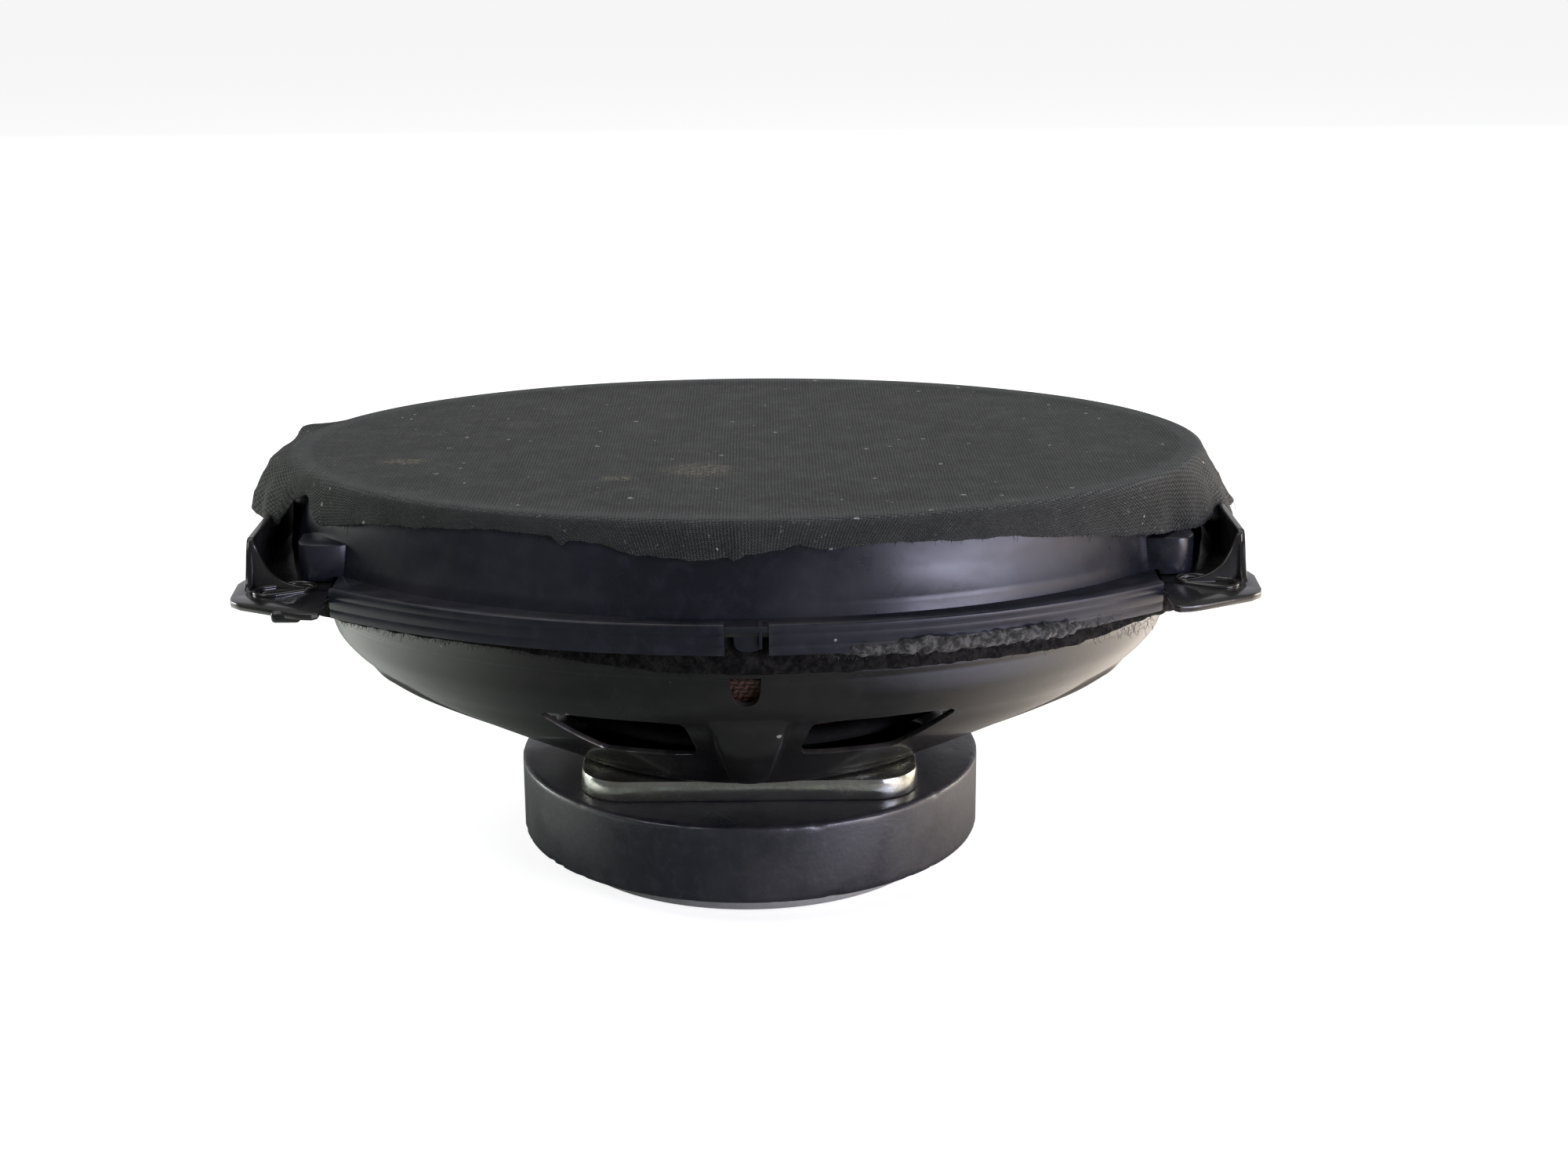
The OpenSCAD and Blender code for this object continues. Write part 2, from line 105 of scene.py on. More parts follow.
def smoothLine(points, spacing):
    # a smooth curve through the points, cut into short steps
    line = []
    for i in range(len(points) - 1):
        p = [Vector(points[max(0, min(len(points) - 1, i + k))]) for k in (-1, 0, 1, 2)]
        count = max(1, math.ceil((p[2] - p[1]).length / spacing))
        for k in range(count):
            t = k / count
            square, cube = 2 * p[0] - 5 * p[1] + 4 * p[2] - p[3], 3 * p[1] - p[0] - 3 * p[2] + p[3]
            line.append(0.5 * (2 * p[1] + (p[2] - p[0]) * t + square * t * t + cube * t ** 3))
    return [tuple(v) for v in line] + [tuple(points[-1])]


def softCorners(points, share=0.28):
    # cuts every corner of a closed outline into two
    out = []
    for a, b in zip(points, points[1:] + points[:1]):
        out += [tuple(p + (q - p) * t for p, q in zip(a, b)) for t in (share, 1 - share)]
    return out


def arcPoints(centre, radius, start, end, count):
    turns = [math.radians(start + (end - start) * i / count) for i in range(count + 1)]
    return [(centre[0] + radius * math.cos(t), centre[1] + radius * math.sin(t)) for t in turns]


def ovalPoints(a, b, count=192):
    return [(a * math.cos(fullTurn * i / count), b * math.sin(fullTurn * i / count)) for i in range(count)]


# mesh helpers


def makePiece(name, bm, slot, replaced, sharp=35, body="chassis", finish=()):
    # a finished mesh in millimetres becomes a piece in metres; finish names materials other than the slot's own
    bmesh.ops.scale(bm, vec=(mm, mm, mm), verts=bm.verts)
    mesh = bpy.data.meshes.new(name)
    bm.to_mesh(mesh)
    bm.free()
    for label in finish or [slot]:
        mesh.materials.append(materials[label])
    piece = bpy.data.objects.new(name, mesh)
    scene.collection.objects.link(piece)
    mesh.polygons.foreach_set("use_smooth", [True] * len(mesh.polygons))
    mesh.set_sharp_from_angle(angle=math.radians(sharp))
    if body:
        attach(piece, body)
    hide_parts(replaced)
    return piece


def spinOval(bm, line, steps=192, closed=False, start=0, turn=360):
    # turns a line of (half length, half width, height) round Z and presses it into an oval
    ratio = {}
    before = set(bm.verts)
    verts = []
    for a, b, z in line:
        verts.append(bm.verts.new((a * math.cos(math.radians(start)), a * math.sin(math.radians(start)), z)))
        ratio[(round(a, 2), round(z, 2))] = b / a if a > 0.001 else 1
    edges = [bm.edges.new(pair) for pair in zip(verts, verts[1:])]
    if closed:
        edges.append(bm.edges.new((verts[-1], verts[0])))
    whole = abs(turn) == 360
    bmesh.ops.spin(bm, geom=verts + edges, cent=(0, 0, 0), axis=(0, 0, 1), angle=math.radians(turn), steps=steps,
        use_merge=whole)
    made = [v for v in bm.verts if v not in before]
    for v in made:
        key = (round(math.hypot(v.co.x, v.co.y), 2), round(v.co.z, 2))
        if key not in ratio:
            key = min(ratio, key=lambda k: abs(k[0] - key[0]) + abs(k[1] - key[1]))
        v.co.y *= ratio[key]
    bmesh.ops.remove_doubles(bm, verts=made, dist=0.0005)
    bmesh.ops.recalc_face_normals(bm, faces=bm.faces)


def spinRound(bm, line, steps=192, closed=False):
    spinOval(bm, [(r, r, z) for r, z in line], steps, closed)


def spinArc(bm, profile, centreY, start, end, steps):
    # a closed profile of (radius, height) carried along an arc round (0, centreY), with both ends filled
    before = set(bm.faces)
    verts = [bm.verts.new((r * math.sin(start), centreY - math.copysign(1, centreY) * r * math.cos(start), z)) for r,
        z in profile]
    edges = [bm.edges.new(pair) for pair in zip(verts, verts[1:] + verts[:1])]
    turn = (end - start) * math.copysign(1, centreY)
    last = bmesh.ops.spin(bm, geom=verts + edges, cent=(0, centreY, 0), axis=(0, 0, 1), angle=turn,
        steps=steps)["geom_last"]
    bmesh.ops.contextual_create(bm, geom=edges)
    bmesh.ops.contextual_create(bm, geom=[e for e in last if isinstance(e, bmesh.types.BMEdge)])
    bmesh.ops.recalc_face_normals(bm, faces=[f for f in bm.faces if f not in before])


def plateMesh(outlines, low, high, edge=0.3, turn=None):
    # a flat plate with holes, from closed outlines, with a small round on every edge
    curve = bpy.data.curves.new("plate", "CURVE")
    curve.dimensions, curve.fill_mode = "2D", "BOTH"
    curve.extrude, curve.bevel_depth, curve.bevel_resolution, curve.offset = (high - low) / 2 - edge, edge, 1, -edge
    for outline in outlines:
        spline = curve.splines.new("POLY")
        spline.points.add(len(outline) - 1)
        for point, (x, y) in zip(spline.points, outline):
            point.co = (x, y, 0, 1)
        spline.use_cyclic_u = True
    holder = bpy.data.objects.new("plate", curve)
    scene.collection.objects.link(holder)
    mesh = bpy.data.meshes.new_from_object(holder.evaluated_get(bpy.context.evaluated_depsgraph_get()))
    bpy.data.objects.remove(holder)
    bpy.data.curves.remove(curve)
    bm = bmesh.new()
    bm.from_mesh(mesh)
    bpy.data.meshes.remove(mesh)
    bmesh.ops.translate(bm, vec=(0, 0, (low + high) / 2), verts=bm.verts)
    if turn:
        bmesh.ops.transform(bm, matrix=turn, verts=bm.verts)
    bmesh.ops.remove_doubles(bm, verts=bm.verts, dist=0.002)
    bmesh.ops.recalc_face_normals(bm, faces=bm.faces)
    return bm


def boxesMesh(places, size, edge, segments):
    # equal small blocks with rounded edges
    bm = bmesh.new()
    for place in places:
        block = bmesh.ops.create_cube(bm, size=1)["verts"]
        bmesh.ops.scale(bm, vec=size, verts=block)
        bmesh.ops.translate(bm, vec=place, verts=block)
    bmesh.ops.bevel(
        bm, geom=list(bm.edges), offset=edge, affect="EDGES", segments=segments, profile=0.5, material=-1)
    return bm


def addMesh(bm, other):
    # puts a finished mesh into another one
    mesh = bpy.data.meshes.new("part")
    other.to_mesh(mesh)
    other.free()
    bm.from_mesh(mesh)
    bpy.data.meshes.remove(mesh)


def tubeMesh(bm, points, radius, sides=10, flat=1.0):
    # a round or flattened tube through the points
    rings = []
    for i, p in enumerate(points):
        along = (Vector(points[min(i + 1, len(points) - 1)]) - Vector(points[max(i - 1, 0)])).normalized()
        ring = bmesh.ops.create_circle(bm, segments=sides, radius=radius, cap_ends=i in (0, len(points) - 1))["verts"]
        bmesh.ops.scale(bm, vec=(1, flat, 1), verts=ring)
        side = Vector((1, 0, 0)) if abs(along.x) < 0.9 else Vector((0, 1, 0))
        up = along.cross(side).normalized()
        side = up.cross(along).normalized()
        bmesh.ops.transform(bm, matrix=Matrix.Translation(Vector(p)) @ Matrix((side, up,
            along)).transposed().to_4x4(), verts=ring)
        rings.append([e for e in {e for v in ring for e in v.link_edges}])
    for a, b in zip(rings, rings[1:]):
        bmesh.ops.bridge_loops(bm, edges=a + b)
    bmesh.ops.recalc_face_normals(bm, faces=bm.faces)


def bisectFaces(bm, faces, place, normal):
    geom = faces + list({e for f in faces for e in f.edges}) + list({v for f in faces for v in f.verts})
    bmesh.ops.bisect_plane(bm, geom=geom, dist=0.0001, plane_co=place, plane_no=Vector(normal).normalized())


def cutOpening(bm, corners, side):
    # cuts a convex hole through the front (-1) or rear (1) wall; corners are (x, height)
    lowX, highX = min(c[0] for c in corners) - 3, max(c[0] for c in corners) + 3
    lowZ, highZ = min(c[1] for c in corners) - 3, max(c[1] for c in corners) + 3

    def facesNear():
        found = []
        for f in bm.faces:
            c = f.calc_center_median()
            if c.y * side > 20 and lowX < c.x < highX and lowZ < c.z < highZ:
                found.append(f)
        return found

    for (x0, z0), (x1, z1) in zip(corners, corners[1:] + corners[:1]):
        bisectFaces(bm, facesNear(), (x0, 0, z0), (z1 - z0, 0, x0 - x1))

    def isInside(c):
        signs = [(x1 - x0) * (c.z - z0) - (z1 - z0) * (c.x - x0) > 0 for (x0, z0),
            (x1, z1) in zip(corners, corners[1:] + corners[:1])]
        return all(signs) or not any(signs)

    bmesh.ops.delete(bm, geom=[f for f in facesNear() if isInside(f.calc_center_median())], context="FACES")


def addModifiers(piece, wall=0, edge=0, angle=45, segments=2):
    if wall:
        m = piece.modifiers.new("wall", "SOLIDIFY")
        m.thickness, m.offset, m.use_even_offset = wall * mm, -1, False
    if edge:
        m = piece.modifiers.new("edge", "BEVEL")
        m.width, m.segments, m.limit_method, m.angle_limit = edge * mm, segments, "ANGLE", math.radians(angle)
        m.harden_normals = False


# shared effects as node groups


def startGroup(name, outputs, **inputs):
    # a number makes a plain socket, and a tuple or None one for a vector
    tree = bpy.data.node_groups.new(name, "ShaderNodeTree")
    for label, value in inputs.items():
        kind = "NodeSocketFloat" if isinstance(value, float) else "NodeSocketVector"
        socket = tree.interface.new_socket(label, in_out="INPUT", socket_type=kind)
        if value is not None:
            socket.default_value = value
    for label in outputs:
        tree.interface.new_socket(label, in_out="OUTPUT", socket_type="NodeSocketFloat")
    return tree, tree.nodes.new("NodeGroupInput").outputs, tree.nodes.new("NodeGroupOutput").inputs


def plug(tree, socket, value):
    # links a socket's value, or sets a plain one
    if isinstance(value, bpy.types.NodeSocket):
        tree.links.new(value, socket)
    elif value is not None:
        socket.default_value = value


def addNode(tree, kind, settings=None, **inputs):
    node = tree.nodes.new(kind)
    for key, value in (settings or {}).items():
        setattr(node, key, value)
    for key, value in inputs.items():
        plug(tree, node.inputs[key.replace("_", " ")], value)
    return node


def addMath(tree, operation, *values, clamp=False):
    node = tree.nodes.new("ShaderNodeMath")
    node.operation, node.use_clamp = operation, clamp
    for socket, value in zip(node.inputs, values):
        plug(tree, socket, value)
    return node.outputs[0]


def addVector(tree, operation, *values):
    node = tree.nodes.new("ShaderNodeVectorMath")
    node.operation = operation
    for socket, value in zip(node.inputs, values):
        plug(tree, socket, value)
    return node.outputs["Value" if operation in ("LENGTH", "DISTANCE") else "Vector"]


def addRange(tree, value, low, high, toLow=0.0, toHigh=1.0):
    node = addNode(tree, "ShaderNodeMapRange", {"interpolation_type": "SMOOTHSTEP"}, Value=value)
    for key, number in (("From Min", low), ("From Max", high), ("To Min", toLow), ("To Max", toHigh)):
        plug(tree, node.inputs[key], number)
    return node.outputs["Result"]


def addMix(tree, share, a, b):
    node = tree.nodes.new("ShaderNodeMix")
    node.data_type = "RGBA"
    for index, value in ((0, share), (6, a), (7, b)):
        plug(tree, node.inputs[index], (*value, 1) if isinstance(value, tuple) else value)
    return node.outputs[2]


def makeMottleGroup():
    tree, inp, out = startGroup("mottle", ["Value"], Vector=None, Scale=60.0, Low=0.35, High=0.65)
    cloud = addNode(tree, "ShaderNodeTexNoise", Vector=inp["Vector"], Scale=inp["Scale"], Detail=6.0, Roughness=0.6,
        Distortion=0.3)
    tree.links.new(addRange(tree, cloud.outputs["Fac"], inp["Low"], inp["High"]), out["Value"])
    return tree


def makeSpeckGroup():
    # small scattered spots, some longer than others
    tree, inp, out = startGroup("specks", ["Mask"], Vector=None, Scale=200.0, Size=0.15, Share=0.2)
    bend = addNode(tree, "ShaderNodeTexNoise", Vector=inp["Vector"], Scale=inp["Scale"], Detail=2.0)
    shifted = addVector(tree, "MULTIPLY_ADD", bend.outputs["Color"], (0.002, 0.002, 0.002), inp["Vector"])
    cells = addNode(tree, "ShaderNodeTexVoronoi", Vector=shifted, Scale=inp["Scale"])
    pick = addNode(tree, "ShaderNodeSeparateColor", Color=cells.outputs["Color"])
    size = addMath(tree, "MULTIPLY", inp["Size"], pick.outputs["Green"])
    spot = addMath(tree, "LESS_THAN", cells.outputs["Distance"], size)
    chosen = addMath(tree, "LESS_THAN", pick.outputs["Red"], inp["Share"])
    tree.links.new(addMath(tree, "MULTIPLY", spot, chosen), out["Mask"])
    return tree


def makeDustGroup():
    # dust lies on faces that look up, in clouds
    tree, inp, out = startGroup("dust", ["Mask"], Vector=None, Scale=40.0, Amount=0.3)
    face = addNode(tree, "ShaderNodeNewGeometry")
    up = addNode(tree, "ShaderNodeSeparateXYZ", Vector=face.outputs["Normal"])
    lying = addRange(tree, up.outputs["Z"], -0.2, 0.9, 0.25, 1.0)
    cloud = addNode(tree, "ShaderNodeTexNoise", Vector=inp["Vector"], Scale=inp["Scale"], Detail=8.0, Roughness=0.7)
    mask = addMath(tree, "MULTIPLY", addRange(tree, cloud.outputs["Fac"], 0.4, 0.75), lying)
    tree.links.new(addMath(tree, "MULTIPLY", mask, inp["Amount"], clamp=True), out["Mask"])
    return tree


def makeWearGroup():
    # rubbed edges, broken up by noise
    tree, inp, out = startGroup("edgeWear", ["Mask"], Vector=None, Scale=150.0, Amount=0.5)
    face = addNode(tree, "ShaderNodeNewGeometry")
    edge = addRange(tree, face.outputs["Pointiness"], 0.52, 0.6)
    cloud = addNode(tree, "ShaderNodeTexNoise", Vector=inp["Vector"], Scale=inp["Scale"], Detail=5.0)
    mask = addMath(tree, "MULTIPLY", edge, addRange(tree, cloud.outputs["Fac"], 0.4, 0.6))
    tree.links.new(addMath(tree, "MULTIPLY", mask, inp["Amount"], clamp=True), out["Mask"])
    return tree


def makeGrainGroup():
    tree, inp, out = startGroup("grain", ["Height"], Vector=None, Scale=800.0, Wave=0.3)
    fine = addNode(tree, "ShaderNodeTexNoise", Vector=inp["Vector"], Scale=inp["Scale"], Detail=3.0)
    wide = addNode(tree, "ShaderNodeTexNoise", Vector=inp["Vector"], Scale=45.0, Detail=2.0)
    low = addMath(tree, "MULTIPLY", wide.outputs["Fac"], inp["Wave"])
    tree.links.new(addMath(tree, "ADD", fine.outputs["Fac"], low), out["Height"])
    return tree


def makeWeaveGroup():
    # plain weave: threads of the given pitch that pass over and under each other
    tree, inp, out = startGroup("weave", ["Height", "Gap"], Vector=None, Pitch=0.00045)
    wobble = addNode(tree, "ShaderNodeTexNoise", Vector=inp["Vector"], Scale=90.0, Detail=2.0)
    moved = addVector(tree, "MULTIPLY_ADD", wobble.outputs["Color"], (0.0006, 0.0006, 0), inp["Vector"])
    part = addNode(tree, "ShaderNodeSeparateXYZ", Vector=moved)
    u = addMath(tree, "DIVIDE", part.outputs["X"], inp["Pitch"])
    v = addMath(tree, "DIVIDE", part.outputs["Y"], inp["Pitch"])
    checker = addMath(tree, "PINGPONG", addMath(tree, "ADD", addMath(tree, "FLOOR", u), addMath(tree, "FLOOR", v)),
        1.0)
    warp = addMath(tree, "ABSOLUTE", addMath(tree, "SINE", addMath(tree, "MULTIPLY", u, math.pi)))
    weft = addMath(tree, "ABSOLUTE", addMath(tree, "SINE", addMath(tree, "MULTIPLY", v, math.pi)))
    warp = addMath(tree, "MULTIPLY", warp, addMath(tree, "MULTIPLY_ADD", checker, 0.5, 0.5))
    weft = addMath(tree, "MULTIPLY", weft, addMath(tree, "MULTIPLY_ADD", checker, -0.5, 1.0))
    height = addMath(tree, "MAXIMUM", warp, weft)
    tree.links.new(height, out["Height"])
    tree.links.new(addRange(tree, height, 0.42, 0.92, 1.0, 0.0), out["Gap"])
    return tree


def makeSmearGroup():
    # a soft rubbed mark with a centre, a size and a rough edge
    tree, inp, out = startGroup("smear", ["Mask"], Vector=None, Place=None, Size=(0.01, 0.01, 0.01))
    away = addVector(tree, "SUBTRACT", inp["Vector"], inp["Place"])
    far = addVector(tree, "LENGTH", addVector(tree, "DIVIDE", away, inp["Size"]))
    cloud = addNode(tree, "ShaderNodeTexNoise", Vector=inp["Vector"], Scale=420.0, Detail=6.0)
    rough = addMath(tree, "MULTIPLY_ADD", cloud.outputs["Fac"], 0.9, -0.45)
    tree.links.new(addRange(tree, addMath(tree, "ADD", far, rough), 0.35, 1.0, 1.0, 0.0), out["Mask"])
    return tree


groups = {"mottle": makeMottleGroup(), "specks": makeSpeckGroup(), "dust": makeDustGroup(), "wear": makeWearGroup(),
    "grain": makeGrainGroup(), "weave": makeWeaveGroup(), "smear": makeSmearGroup()}


def addGroup(tree, name, **inputs):
    node = tree.nodes.new("ShaderNodeGroup")
    node.node_tree = groups[name]
    for key, value in inputs.items():
        plug(tree, node.inputs[key], value)
    return node


def addEffect(tree, name, **inputs):
    # the single output of a group
    return addGroup(tree, name, **inputs).outputs[0]


def addLayer(tree, colour, mask, share, above):
    # lays a colour over another one where the mask is
    return addMix(tree, addMath(tree, "MULTIPLY", mask, share), colour, above)


def startMaterial(name):
    material = bpy.data.materials.new(name)
    material.use_nodes = True
    tree = material.node_tree
    return material, tree, tree.nodes["Principled BSDF"], addNode(tree, "ShaderNodeTexCoord").outputs["Object"]


def addBump(tree, shader, height, strength, distance):
    bump = addNode(tree, "ShaderNodeBump", Strength=strength, Distance=distance, Height=height)
    tree.links.new(bump.outputs["Normal"], shader.inputs["Normal"])


# colour, mottled second colour, roughness range and the other marks of each hard finish
finishes = {
    "zinc_plate": {"base": (0.66, 0.68, 0.64), "second": (0.40, 0.40, 0.33), "scale": 110, "rough": (0.12, 0.34),
        "metal": 0.97, "grain": 500, "depth": 0.25, "dust": 0.15, "wear": 0.3, "wearColour": (0.85, 0.85, 0.82),
        "rust": 0.3},
    # a lighter, less metallic copy of the zinc finish for the back plate; its lighter colour is painted light, so the
    # lower rim shows bright
    "zinc_back_painted_light": {"base": (0.80, 0.80, 0.78), "second": (0.60, 0.59, 0.55), "scale": 90, "rough": (0.35, 0.6),
        "metal": 0.45, "grain": 700, "depth": 0.4, "dust": 0.1, "wear": 0.3, "wearColour": (0.9, 0.9, 0.88)},
    # the ferrite is dark grey; the blue tint in its colours is a painted bluish sheen
    "ferrite": {"base": (0.014, 0.016, 0.026), "second": (0.034, 0.032, 0.040), "scale": 38, "rough": (0.26, 0.44),
        "ior": 1.85, "grain": 900, "depth": 0.25, "dust": 0.08, "wear": 0.12, "wearColour": (0.16, 0.15, 0.15)},
    "black_enamel": {"base": (0.008, 0.008, 0.009), "second": (0.016, 0.015, 0.014), "scale": 30,
        "rough": (0.22, 0.34), "coat": 0.5, "grain": 700, "depth": 0.10, "dust": 0.10, "wear": 0.25,
        "wearColour": (0.10, 0.09, 0.08), "specks": 0.05},
    "navy_plastic": {"base": (0.010, 0.011, 0.019), "second": (0.018, 0.019, 0.030), "scale": 26,
        "rough": (0.24, 0.38), "grain": 420, "depth": 0.10, "dust": 0.12, "wear": 0.3,
        "wearColour": (0.09, 0.09, 0.11), "specks": 0.03},
    "black_plastic": {"base": (0.014, 0.014, 0.015), "second": (0.026, 0.026, 0.027), "scale": 50,
        "rough": (0.34, 0.5), "grain": 700, "depth": 0.2, "dust": 0.2},
    "cone_paper": {"base": (0.022, 0.020, 0.019), "second": (0.040, 0.036, 0.032), "scale": 120,
        "rough": (0.75, 0.92), "grain": 1400, "depth": 0.6, "dust": 0.35},
    "surround_rubber": {"base": (0.014, 0.014, 0.014), "second": (0.030, 0.029, 0.028), "scale": 60,
        "rough": (0.5, 0.68), "grain": 900, "depth": 0.3, "dust": 0.4},
    "board": {"base": (0.13, 0.07, 0.032), "second": (0.075, 0.04, 0.02), "scale": 140, "rough": (0.35, 0.55),
        "grain": 1600, "depth": 0.3, "dust": 0.25},
    "gasket_board": {"base": (0.09, 0.075, 0.055), "second": (0.14, 0.12, 0.095), "scale": 300,
        "rough": (0.8, 0.95), "grain": 1800, "depth": 0.7, "dust": 0.2},
    "former_paper": {"base": (0.45, 0.27, 0.10), "second": (0.36, 0.20, 0.07), "scale": 90, "rough": (0.35, 0.5),
        "grain": 900, "depth": 0.2, "dust": 0.1},
    "copper": {"base": (0.55, 0.21, 0.08), "second": (0.40, 0.13, 0.05), "scale": 150, "rough": (0.2, 0.34),
        "metal": 1.0, "grain": 900, "depth": 0.15, "dust": 0.05},
    "tin_brass": {"base": (0.62, 0.50, 0.25), "second": (0.46, 0.36, 0.18), "scale": 160, "rough": (0.24, 0.42),
        "metal": 1.0, "grain": 700, "depth": 0.2, "dust": 0.12},
    "glue": {"base": (0.28, 0.23, 0.14), "second": (0.18, 0.14, 0.08), "scale": 170, "rough": (0.3, 0.5),
        "grain": 300, "depth": 0.5, "dust": 0.1},
    "dome_film": {"base": (0.50, 0.46, 0.34), "second": (0.42, 0.38, 0.28), "scale": 60, "rough": (0.2, 0.3),
        "grain": 300, "depth": 0.1, "dust": 0.1},
    "sleeve_blue": {"base": (0.02, 0.05, 0.16), "second": (0.015, 0.035, 0.11), "scale": 90, "rough": (0.25, 0.4),
        "grain": 300, "depth": 0.15, "dust": 0.25},
    "wire_red": {"base": (0.30, 0.02, 0.015), "second": (0.22, 0.014, 0.012), "scale": 120, "rough": (0.4, 0.55),
        "grain": 500, "depth": 0.15, "dust": 0.15},
    "nickel": {"base": (0.60, 0.60, 0.62), "second": (0.50, 0.50, 0.52), "scale": 90, "rough": (0.18, 0.3),
        "metal": 1.0, "grain": 600, "depth": 0.1, "dust": 0.05},
}


def makeFinish(name, s):
    material, tree, shader, place = startMaterial(name)
    mottle = addEffect(tree, "mottle", Vector=place, Scale=float(s["scale"]))
    colour = addMix(tree, mottle, s["base"], s["second"])
    fine = addEffect(tree, "mottle", Vector=place, Scale=s["scale"] * 9.0, Low=0.45, High=0.75)
    light = tuple(min(1, c * 1.9) for c in s["second"]) if max(s["second"]) < 0.3 else s["base"]
    colour = addLayer(tree, colour, fine, 0.45, light)
    if "rust" in s:
        spots = addEffect(tree, "mottle", Vector=place, Scale=s["scale"] * 0.45, Low=0.56, High=0.78)
        colour = addLayer(tree, colour, spots, s["rust"], (0.34, 0.20, 0.09))
    if "wear" in s:
        wear = addEffect(tree, "wear", Vector=place, Amount=s["wear"])
        colour = addMix(tree, wear, colour, s["wearColour"])
    if "specks" in s:
        specks = addEffect(tree, "specks", Vector=place, Scale=260.0, Size=0.16, Share=s["specks"])
        colour = addLayer(tree, colour, specks, 0.7, (0.55, 0.52, 0.48))
    dust = addEffect(tree, "dust", Vector=place, Scale=s["scale"] * 1.5, Amount=s["dust"])
    colour = addMix(tree, dust, colour, (0.24, 0.22, 0.19))
    tree.links.new(colour, shader.inputs["Base Color"])
    low, high = s["rough"]
    rough = addMath(tree, "MULTIPLY_ADD", mottle, high - low, low)
    tree.links.new(addMath(tree, "ADD", rough, addMath(tree, "MULTIPLY", dust, 0.5), clamp=True),
        shader.inputs["Roughness"])
    shader.inputs["Metallic"].default_value = s.get("metal", 0)
    if "ior" in s:
        shader.inputs["IOR"].default_value = s["ior"]
    if "specular" in s:
        shader.inputs["Specular IOR Level"].default_value = s["specular"]
    if s.get("coat"):
        shader.inputs["Coat Weight"].default_value = s["coat"]
        shader.inputs["Coat Roughness"].default_value = 0.06
    grain = addEffect(tree, "grain", Vector=place, Scale=float(s["grain"]))
    addBump(tree, shader, grain, s["depth"], 0.0002)
    return material


clothSettings = {
    "steps": 540, "rimHalf": (105.9, 74.6), "top": 99.45, "land": 5.0, "flapRows": 14, "weavePitch": 0.00072,
    "smears": [  # place and size
        ((-0.0105, -0.0290, 0.0994), (0.0105, 0.0085, 0.01)),
        ((-0.0775, -0.0180, 0.0994), (0.0075, 0.0034, 0.01)),
        ((-0.028, -0.036, 0.0994), (0.005, 0.003, 0.01)),
    ],
    # turn in degrees round the rim, length of the loose edge, and its angles from upright at the rim and at the end
    "edge": [
        (-180, 15.8, 78, -12), (-172, 17.0, 74, -14), (-166, 16.5, 60, -8), (-162, 14.0, 44, 0),
        (-159.4, 7.0, 30, 10), (-155.5, 4.4, 24, 10), (-153, 6.8, 20, 10), (-150, 9.8, 16, 8),
        (-146, 8.4, 16, 8), (-140.6, 6.7, 17, 9), (-133, 5.4, 18, 10), (-127.3, 4.7, 18, 11),
        (-118.6, 3.4, 20, 12), (-112, 3.8, 20, 14), (-110.7, 5.4, 20, 18), (-109.6, 4.1, 20, 12),
        (-106, 5.1, 20, 12), (-103.4, 6.4, 20, 12), (-97, 7.6, 20, 12), (-92, 7.2, 20, 12), (-91, 8.0, 22, 24),
        (-90.2, 6.8, 20, 12), (-85.8, 5.8, 20, 12), (-84.4, 4.6, 20, 12), (-82, 5.7, 20, 12),
        (-80.6, 6.0, 20, 12), (-75, 4.7, 19, 12), (-67.7, 5.5, 18, 12), (-57.8, 6.4, 18, 10),
        (-46.5, 8.6, 18, 10), (-39.5, 10.6, 18, 10), (-34.5, 12.2, 20, 14), (-28, 12.8, 22, 18),
        (-23, 13.2, 25, 21), (-17, 15.2, 26, 24), (-11, 18.4, 27, 25), (-5, 18.2, 28, 25), (2, 17.6, 29, 25),
        (9, 16.0, 33, 30), (12.5, 12.6, 38, 40), (17, 8.6, 42, 42), (24, 6.0, 28, 20), (40, 5.0, 17, 10),
        (60, 6.4, 18, 10), (80, 4.9, 20, 12), (96, 6.6, 20, 12), (110, 5.2, 20, 12), (130, 5.9, 18, 10),
        (145, 6.6, 18, 10), (152, 8.2, 34, 12), (158, 8.0, 80, 50), (163.5, 7.4, 104, 66), (168, 8.6, 88, 22),
        (174, 13.6, 82, -6), (180, 15.8, 78, -12),
    ],
}


